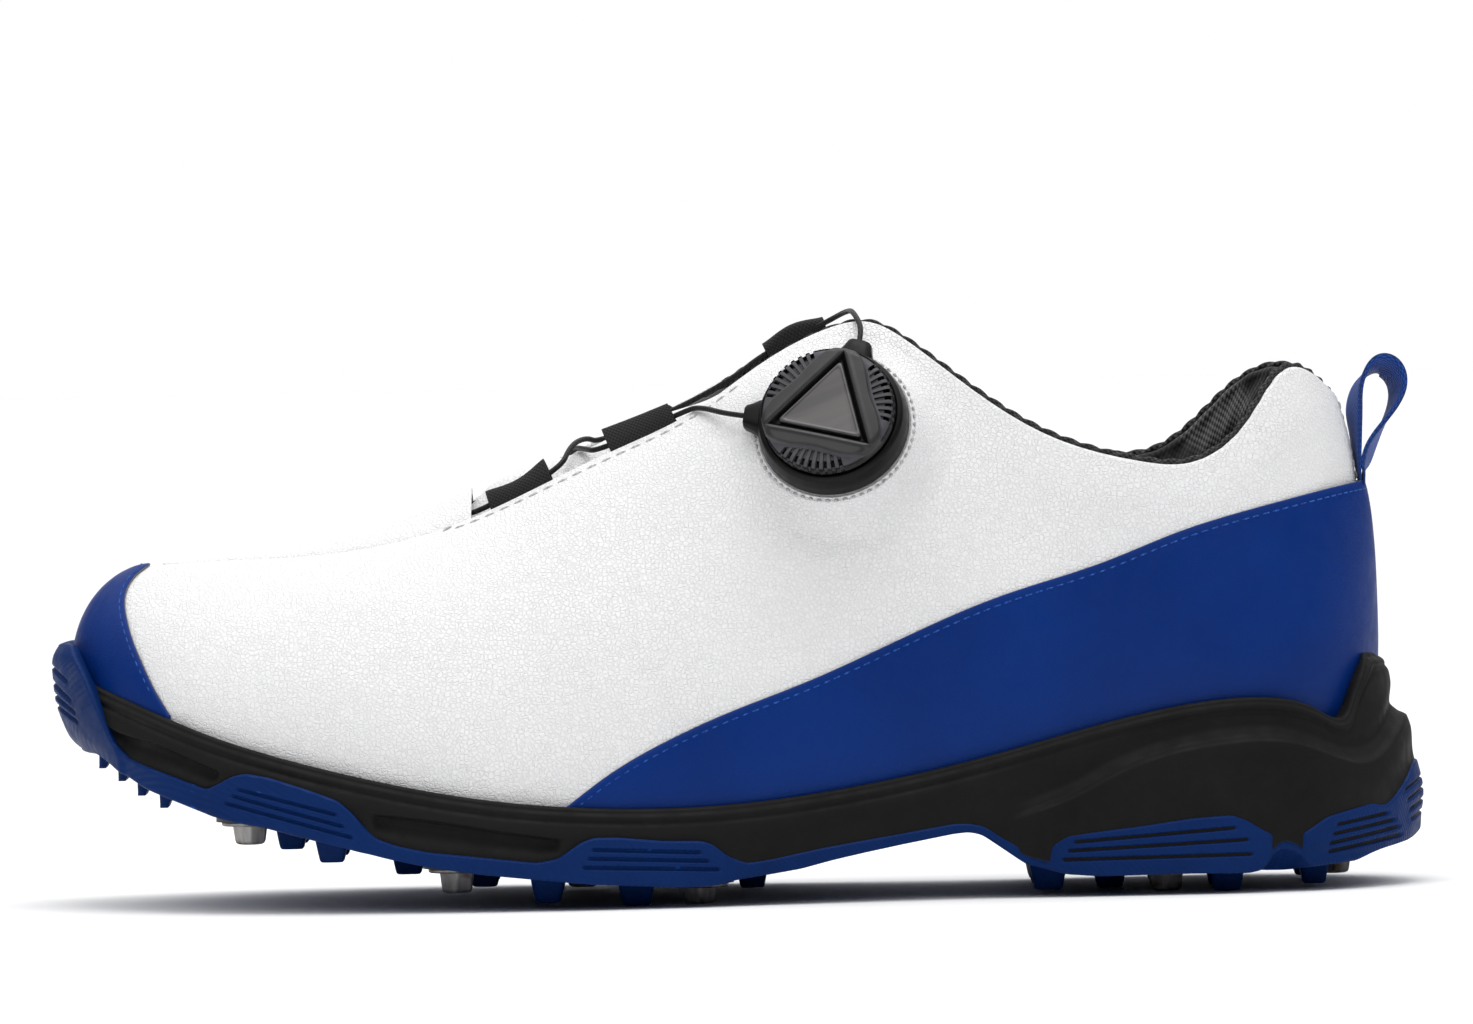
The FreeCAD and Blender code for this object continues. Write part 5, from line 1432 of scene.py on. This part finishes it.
def make_housing(paint):
    """The housing's turned body with its floor and post, and the two wire ports."""
    outline = rounded([(0, 0.0), (16.2, 0.0), (16.7, 0.9), (16.5, 3.4), (15.9, 6.0), (15.0, 6.6),
                       (14.5, 6.3), (14.5, 1.2), (2.2, 1.2), (2.2, 7.6), (1.25, 7.6),
                       (1.25, 0.6), (0.0, 0.6)], 0.5)
    body = add_grid("dial_housing_body", on_dial(lathe(outline, HOUSING_SIDES)), closed_u=True,
                    materials=[paint["dial_dark"]], slot="dial_black", smooth_angle=50)
    merge_points(body)
    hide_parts("dial_housing")
    bodies = []
    for angle in (171.0, 70.0):
        a = math.radians(angle)
        turn = np.array([[math.cos(a), math.sin(a), 0], [-math.sin(a), math.cos(a), 0], [0, 0, 1]])
        around = np.linspace(0, TAU, 40, endpoint=False)
        cos, sin = np.cos(around), np.sin(around)
        shape = np.stack([np.sign(cos) * np.abs(cos) ** 0.6, np.sign(sin) * np.abs(sin) ** 0.6], -1)
        loops = []
        for reach, width, tall in ((14.8, 4.2, 2.7), (16.4, 3.9, 2.6), (17.8, 3.2, 2.35),
                                   (19.2, 2.7, 2.1), (19.6, 2.3, 1.8)):
            loops.append([(reach, p[0] * width, 2.75 + p[1] * tall * 0.95) for p in shape])
        for reach, hole in ((19.55, 1.15), (19.2, 0.8), (15.0, 0.8)):
            loops.append([(reach, hole * math.cos(t), 3.0 + hole * math.sin(t)) for t in around])
        points, faces = stack(loops)
        bodies.append((points @ turn, faces))
    points, faces = join(bodies)
    add_mesh("dial_ports", on_dial(points), faces, materials=[paint["dial_dark"]],
             slot="dial_black", smooth_angle=50)


def leather_under(x, y):
    """The leather's s, v and height over the dial's foot under points of the dial's plane."""
    s, v = np.full(x.shape, 5.18), np.full(x.shape, 0.665)

    def local(s, v):
        p = last(s, v) - DIAL_BASE
        return p @ DIAL_X, p @ DIAL_Y, p @ DIAL_AXIS

    e = 1e-3
    for _ in range(14):
        px, py, _h = local(s, v)
        ax, ay, _h = local(s + e, v)
        bx, by, _h = local(s, v + e)
        j11, j21, j12, j22 = (ax - px) / e, (ay - py) / e, (bx - px) / e, (by - py) / e
        det = j11 * j22 - j12 * j21
        dx, dy = x - px, y - py
        s = s + np.clip((dx * j22 - dy * j12) / det, -0.4, 0.4)
        v = np.clip(v + np.clip((dy * j11 - dx * j21) / det, -0.2, 0.2), 0.05, 1.0)
    return s, v, local(s, v)[2]


def make_dial_pad(paint):
    """White leather stretched over the plinth under the dial, and its ring of stitches."""
    theta = (np.arange(PAD_SIDES) * TAU / PAD_SIDES)[:, None]
    reach = np.full((PAD_SIDES, 1), PAD_REACH)
    for _ in range(40):
        _s, v, _h = leather_under(reach * np.cos(theta), reach * np.sin(theta))
        reach = np.where(v > 0.975, reach - 0.25, reach)
    share = np.concatenate([[0.0], np.linspace(0.0, 1.0, 60)])[None]
    r = np.concatenate([np.full((PAD_SIDES, 1), PAD_START),
                        PAD_START + (reach - PAD_START) * share[:, 1:]], 1)
    _s, v, height = leather_under(r * np.cos(theta), r * np.sin(theta))
    away = np.clip((r - 17.8) / (reach - 17.8), 0, 1)
    fall = 1 - (1 - away) ** 2.3
    edge = 0.30 * bump(r, 16.95, 0.24)
    z = mix(0.0 * r, height - 0.22 * away**4, fall) + edge
    z = z - 0.22 * bump(r, STITCH_RADIUS, 0.3) * (1 - fall)
    top = around_axis(r, theta, z)
    under = around_axis(r[:, ::-8], theta, np.minimum(z[:, ::-8] - 1.2, height[:, ::-8] - 0.8))
    pad = add_grid("dial_pad_leather", on_dial(np.concatenate([top, under], 1)), closed_u=True,
                   closed_v=True, materials=[paint["white_leather"]], slot="white_leather",
                   smooth_angle=60)
    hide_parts("dial_pad")
    theta = np.linspace(0, TAU, 400)
    ring = around_axis(STITCH_RADIUS, theta, -0.10)
    add_stitches("dial_stitches", on_dial(ring), np.tile(DIAL_AXIS, (400, 1)), paint["thread"],
                 pitch=1.9, share=0.62, width=0.34, rise=0.22)


# ---------------------------------------------------------------- guides and pull loop

# Webbing guides: name, s at both ends, height over the wire at both ends, how much of it the
# waist loses, and how far the guide leans into the throat and down.
GUIDES = [
    ("guide_near_1", 3.27, 3.66, 3.5, 4.2, 1.3, 0, 0),
    ("guide_near_2", 4.02, 4.40, 4.4, 3.5, 0.1, 0, 0),
    ("guide_far_1", 14.73, 14.34, 1.3, 1.3, 0.1, 2.2, 3.0),
    ("guide_far_2", 13.98, 13.62, 1.3, 1.3, 0.1, 1.6, 2.3),
    ("guide_far_3", 13.04, 12.72, 1.3, 1.3, -1.5, 0, 0),
]


def make_guides(paint):
    """Hourglass loops of black webbing, folded over the wire and sewn in under the leather."""
    for name, low, high, first, second, dip, lean, sink in GUIDES:
        share = np.linspace(0, 1, 41)
        s = low + (high - low) * share
        waist = np.sin(share * math.pi) ** 1.3
        edge, out = last(s, 1.0), normal(s, 1.0)
        ends = [last(t, 1.0) + normal(t, 1.0) * 0.1 + unit(last(t, 1.0) - last(t, 0.96)) * 2.5
                - (0, lean, sink) for t in (low, high)]
        wire = ends[0] + (ends[1] - ends[0]) * share[:, None]
        base = edge - out * 1.9
        rise = unit(wire - base)
        span = np.linalg.norm(wire - base, axis=-1)
        along = unit(np.gradient(wire, axis=0))
        side = unit(np.cross(along, rise))
        angle = np.linspace(0, TAU, 56, endpoint=False)[:, None]
        cos, sin = np.cos(angle), np.sin(angle)
        skins = []
        for thick in (0.0, 0.62):
            top = first + (second - first) * share - dip * waist - thick
            bottom = span + 1.2 - thick
            tall = np.where(cos > 0, top[None], bottom[None])
            wide = (1.62 - thick) * (1 - 0.5 * np.clip(-cos, 0, 1) ** 1.4)
            skins.append(wire[None] + rise[None] * (cos * tall)[..., None]
                         + side[None] * (np.sign(sin) * np.abs(sin) ** 0.85 * wide)[..., None])
        grid = np.concatenate([skins[0], skins[1][:, ::-1]], 1)
        guide = add_grid(f"{name}_webbing", grid, closed_u=True, closed_v=True,
                         materials=[paint["webbing_black"]], slot="webbing_black",
                         smooth_angle=50)
        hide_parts(name)


# The pull loop's middle line, rows of x, z, and its twist in radians along those rows.
LOOP_PATH = [
    (138.6, 87.5), (138.3, 90.4), (138.0, 94.0), (137.8, 99.0), (137.6, 103.6), (138.4, 108.6),
    (140.8, 112.5), (143.7, 113.9), (146.2, 112.2), (147.1, 108.6), (145.8, 104.2), (143.1, 99.6),
    (141.0, 95.6), (139.8, 92.0), (139.45, 90.2), (139.25, 87.5),
]
LOOP_TWIST = [
    (0, 0.0), (1.5, -0.04), (3, -0.16), (4.2, -0.24), (5.8, 0.1), (7.2, 0.46), (8.8, 0.34),
    (11, -0.12), (12.5, -0.22), (14, -0.04), (15, 0.0),
]
LOOP_WIDTH = 10.0


def make_pull_loop(paint):
    """A loop of blue webbing, slightly twisted, sewn in at the back of the heel."""
    path = spline([(i, x, z) for i, (x, z) in enumerate(LOOP_PATH)])
    t = np.linspace(0, len(LOOP_PATH) - 1, 260)
    centre = path(t)
    along = unit(np.gradient(centre, axis=0))
    out = np.stack([-along[:, 1], along[:, 0]], -1)
    lean = spline(LOOP_TWIST)(t)
    thick = 0.55 + 0.6 * smooth(0.3, 2.5, t) * (1 - smooth(12.5, 14.7, t))
    rows = []
    across = np.linspace(-1, 1, 17)
    section = [(v, 0.5) for v in across] + [(1.03, 0.0)]
    section += [(v, -0.5) for v in np.linspace(1, -1, 17)] + [(-1.03, 0.0)]
    for y, depth in section:
        edge_round = 1 - 0.35 * abs(y) ** 12
        offset = depth * thick * edge_round - lean * y * LOOP_WIDTH / 2
        place = centre + out * offset[:, None]
        rows.append(np.stack([place[:, 0], y * LOOP_WIDTH / 2 * np.cos(lean), place[:, 1]], -1))
    grid = np.stack(rows, 1)
    loop = add_grid("pull_loop_webbing", grid, closed_v=True, caps=True,
                    materials=[paint["webbing_blue"]], body="heel_loop", slot="webbing_blue",
                    smooth_angle=60)
    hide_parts("pull_loop")


# ---------------------------------------------------------------- the CAD pieces that stay


def paint_frame(paint):
    finishes = {
        "shank": "nylon", "insole_board": "grey_board", "heel_counter_lateral": "grey_board",
        "heel_counter_medial": "grey_board", "toe_puff": "grey_board", "spool": "dial_dark",
        "ratchet_ring": "dial_dark", "pawl_disc": "nylon", "lift_sleeve": "nylon",
        "axle_screw": "steel",
    }
    for number in range(1, 9):
        finishes[f"cleat_socket_{number}"] = "nylon"
    for node, finish in finishes.items():
        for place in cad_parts[node].material_slots:
            place.material = paint[finish]


make_stage()
paint = make_materials()
make_lace(paint)
make_upper(paint)
make_strip(paint)
make_overlays(paint)
make_lining(paint)
make_braid(paint)
make_tongue(paint)
make_vamp_lining(paint)
make_upper_stitches(paint)
make_midsole(paint)
make_outsole(paint)
make_lugs(paint)
make_studs(paint)
make_footbed(paint)
make_knob(paint)
make_badge(paint)
make_housing(paint)
make_dial_pad(paint)
make_guides(paint)
make_pull_loop(paint)
paint_frame(paint)
